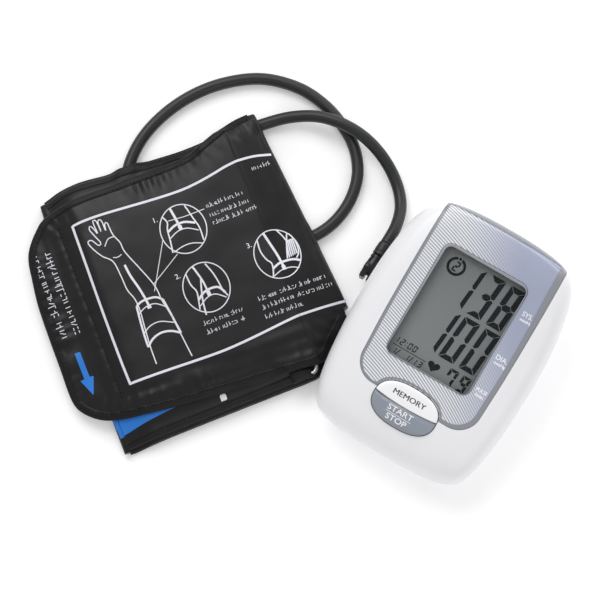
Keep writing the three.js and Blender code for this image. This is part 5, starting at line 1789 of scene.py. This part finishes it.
# forearm and hand, a plain outline of the builder's own
W = 0.64
ink([(-68, -65), (-67.5, -48), (-66, -30), (-64, -8), (-65, 2), (-68.5, 12), (-69.5, 28), (-72, 44), (-80, 52), (-87, 64), (-88.5, 70), (-85, 71), (-79, 63), (-76.5, 64), (-80, 74),
     (-82.5, 82), (-80.5, 84.5), (-78, 80), (-76, 74), (-76.5, 84), (-76, 88.5), (-73.5, 88), (-72, 75), (-71.5, 86), (-69.5, 87.5), (-67.8, 85), (-67.4, 74), (-65.5, 82),
     (-63.5, 82), (-62.8, 76), (-62, 68), (-58, 58), (-57.5, 50), (-50, 30), (-43, 12), (-40.5, 2), (-40, -8), (-37, -24), (-34.5, -46), (-32, -70)], W, curve=True)
ink([(-74, 60), (-68, 66), (-62, 66)], 0.55, curve=True)
ink([(-70, 47), (-66, 45.5), (-61, 47)], 0.5, curve=True)
# cuff drawn round the arm, with its tube
ink([(-65.5, -6), (-60, -3.5), (-52, -3.2), (-44, -4.5), (-38.5, -9)], 1.2, curve=True)
ink([(-65.8, -6), (-67.5, -20), (-69, -36), (-69.5, -47)], 1.15, curve=True)
ink([(-38.5, -9), (-36.8, -22), (-35, -36), (-33.8, -45.5)], 1.15, curve=True)
ink([(-69.5, -47), (-62, -41), (-52, -38.5), (-42, -40.5), (-33.8, -45.5)], 1.2, curve=True)
ink([(-66.5, -14), (-58, -10), (-48, -9.8), (-37.5, -17)], 0.6, curve=True)
ink([(-68.5, -33), (-60, -28.5), (-50, -27.8), (-35.5, -34)], 0.6, curve=True)
ink([(-62, 36), (-60.5, 24), (-57, 10), (-54.5, -4), (-54, -11)], 1.3, curve=True)
ink([(-54.2, -9), (-54, -12.5)], 2.3)
# leader lines to the first step
ink([(-43.5, 1.5), (-17, 45)], 0.42)
ink([(-42, 8), (-8, 27.5)], 0.42)
# the three steps
for k, (cx, cy) in enumerate(((6.8, 48.5), (6.8, -13), (86.2, -7.5))):
    ink(ring_line(cx, cy, 23.6, 24.6)[:-1], 0.62, closed=True, mm=False)
ink([(-12, 30), (-10, 42), (-8.5, 54), (-6, 60), (-9, 67)], 0.8, curve=True)
ink([(22, 31), (22.5, 45), (20, 55), (18.5, 62), (16.5, 70)], 0.8, curve=True)
ink([(-8.5, 51), (0, 54.5), (10, 54.5), (20.5, 50)], 1.3, curve=True)
ink([(-9, 44), (0, 48), (10, 48), (21, 42)], 0.6, curve=True)
ink([(-10.5, 30), (0, 32.5), (10, 32.2), (20, 28.5)], 0.6, curve=True)
ink([(1.5, 72), (3, 62), (4.2, 52)], 1.4, curve=True)
ink([(4.2, 53), (4.4, 49)], 2.2)
ink([(-4.5, 61), (12, 59.5), (34, 59.5)], 0.45)
ink([(-8, 6), (-7, -6), (-4, -13), (-5, -20), (-7.5, -31)], 0.8, curve=True)
ink([(14, 9), (18, -2), (20, -12), (21, -20), (24, -28)], 0.8, curve=True)
ink([(-5.5, -22), (2, -17), (10, -15.5), (18, -17), (22.5, -24)], 1.3, curve=True)
ink([(-6, -28), (4, -22.5), (12, -22), (22, -29)], 0.6, curve=True)
ink([(1, 11), (3, 4), (5.5, -6), (6.6, -18)], 1.1, curve=True)
ink([(6.6, -17), (6.8, -21.5)], 2.2)
ink([(5, -2), (1, -14), (-2, -26), (-3.5, -38)], 0.9, curve=True)
ink([(72, 12), (71, 0), (74, -10), (77, -14), (75, -24), (73, -28)], 0.8, curve=True)
ink([(94, 16), (98, 8), (100, 2)], 0.8, curve=True)
ink([(76, -20), (84, -17), (92, -16.5), (100, -17.5), (106, -20.5)], 1.3, curve=True)
ink([(74.5, -27), (84, -24), (94, -24), (102, -27)], 0.6, curve=True)
ink([(80.5, 16), (83, 4), (85.5, -8), (87, -20)], 1.4, curve=True)
ink([(87, -20), (87.2, -24.5)], 2.2)
# two fingers under the cuff's edge in the third step
ink([(94, -15), (97, -6), (101, 4), (103.5, 9), (107, 4), (108.5, -4), (107, -13), (103, -17)], 0.8, curve=True)
for k in range(5):
    ink([(96.5 + k * 2.2, -14.5 + k * 0.4), (98.2 + k * 2.0, -4.5 + k * 0.6), (100.0 + k * 1.5, 2.5)], 0.8, curve=True)


def stroke(a, b, width):
    """One short straight printed stroke, mm."""
    pts = np.array([a, ((a[0] + b[0]) / 2, (a[1] + b[1]) / 2), b], float)
    d = pts[2] - pts[0]
    d /= max(float(np.linalg.norm(d)), 1e-9)
    n = np.array([-d[1], d[0]]) * width / 2
    base = len(ink_v)
    vv = []
    for c in pts:
        p, q = c + n, c - n
        zp, zq = on_cloth(p[0], p[1], 0)[2], on_cloth(q[0], q[1], 0)[2]
        vv += [(p[0], p[1], zp + 0.13), (q[0], q[1], zq + 0.13), (q[0], q[1], zq - 0.05), (p[0], p[1], zp - 0.05)]
    ff = [(i * 4 + j, i * 4 + (j + 1) % 4, (i + 1) * 4 + (j + 1) % 4, (i + 1) * 4 + j) for i in range(2) for j in range(4)]
    ff += [(3, 2, 1, 0), (8, 9, 10, 11)]
    ff = outward(vv, ff)
    ink_v.extend(vv)
    ink_f.extend(tuple(i + base for i in g) for g in ff)


# plain marks that keep the rhythm of small print: uprights and short bars, and no letters
MARKS = [((0.1, 0, 0.1, 1),), ((0.1, 0, 0.1, 1), (0.1, 0.06, 0.62, 0.06)), ((0.1, 0, 0.1, 1), (0.62, 0, 0.62, 1)), ((0.1, 0, 0.1, 1), (0.1, 0.94, 0.62, 0.94)),
         ((0.1, 0.5, 0.62, 0.5), (0.62, 0, 0.62, 1)), ((0.1, 0.06, 0.62, 0.06), (0.1, 0.94, 0.62, 0.94)), ((0.36, 0, 0.36, 1),), ((0.1, 0, 0.1, 1.5), (0.1, 0.5, 0.6, 0.5)),
         ((0.1, 0, 0.62, 1),), ((0.62, 0, 0.62, 1.5), (0.1, 0.06, 0.62, 0.06))]


def small_print(x0, x1, y, size, words, line=0.3, vertical=False, seed=1):
    r = random.Random(seed)
    x = x0
    for w in words:
        for _ in range(w):
            if x + size * 0.7 > x1:
                return
            for a, b, c, d in MARKS[r.randrange(len(MARKS))]:
                p, q = (x + a * size, y + (b - 0.5) * size), (x + c * size, y + (d - 0.5) * size)
                if vertical:
                    p, q = (y - (b - 0.5) * size, x + a * size), (y - (d - 0.5) * size, x + c * size)
                stroke(p, q, line)
            x += size * 0.84
        x += size * 0.55


def row(px0, px1, py, size, words, seed=1, line=0.3):
    a, b = pic(px0, py), pic(px1, py)
    small_print(a[0], b[0], a[1], size, words, line, seed=seed)


for k, (y, w) in enumerate(((61, (7, 4, 3)), (51.5, (4, 8, 3)), (43, (7, 5, 5)))):
    row(37, 92, y, 1.75, w, seed=k + 1)
for k, (y, w) in enumerate(((-45.5, (6, 4, 5)), (-54.5, (6, 2, 4, 3)))):
    row(-10, 33, y, 1.75, w, seed=k + 5)
for k, (y, w) in enumerate(((-43, (3, 4, 7, 5, 4, 4, 5)), (-52, (3, 7, 2, 3, 7, 3, 4)), (-61.5, (3, 4, 4, 2)))):
    row(51, 127 + k, y, 1.8, w, seed=k + 9)
row(95, 117, 81, 1.8, (4, 5), seed=21)
for px, w, y0 in ((-145, (5, 7, 8), -8), (-131, (6, 8, 6), -8)):
    a, b = pic(px, y0), pic(px, 80)
    small_print(a[1], b[1], a[0], 2.9, w, 0.46, vertical=True, seed=int(-px))
make("flap_print", [cuff(p) for p in ink_v], ink_f, INK_WHITE, smooth=0)

num_parts = []
for word, px, py in (("1.", -16.5, 66.5), ("2.", -16.5, 7), ("3.", 62.5, 10)):
    tv, tf = text_mesh(word, 3.0, 1.0, 0.004)
    cx, cy = pic(px, py)
    num_parts.append(slab(tv, tf, lambda x, y, h: on_cloth(x + cx, y + cy, 0.06 + h), 0.05))
v, f, _ = merge(*num_parts)
make("flap_numbers", [cuff(p) for p in v], f, INK_WHITE, smooth=0)

# blue arrow, printed
arrow = [(-141.2, -24.5), (-141, -50.8), (-145.4, -51), (-137.9, -68.5), (-131.0, -51), (-135.2, -50.8), (-135.4, -24.5)]
arrow = [pic(*p) for p in arrow]
av, af = pillow(dense(arrow, 0.9), lambda x, y, d: np.array([on_cloth(a, b, 0.12)[2] for a, b in zip(x, y)]),
                lambda x, y, d: np.array([on_cloth(a, b, -0.05)[2] for a, b in zip(x, y)]), grid=1.3, rings=(), frame_of=None)
make("flap_arrow", [cuff(p) for p in av], af, BLUE, smooth=0)


# ---------------------------------------------------------------- CAD nodes that stay, with their own materials
KEEP = {
    "main_board": BOARD, "controller_chip": BLACK, "pressure_sensor": BLACK, "buzzer": BLACK, "memory_switch": BLACK,
    "start_stop_switch": BLACK, "contact_plate_lower": SPRING, "contact_plate_upper": SPRING, "pump_motor": MOTOR, "pump_head": BLACK,
    "pump_rotor": ACETAL, "release_valve": MOTOR, "air_tee": ACETAL, "air_tube_port": TUBE, "air_tube_pump": TUBE, "air_tube_valve": TUBE,
    "air_port": PORT, "cuff_bladder": BLADDER, "cuff_air_fitting": BLACK, "cuff_wrap": NYLON, "index_band": BLUE, "hook_patch": HOOK,
    "d_ring": STEEL,
}
for node, mat in KEEP.items():
    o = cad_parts[node]
    o.data.materials.clear()
    o.data.materials.append(mat)
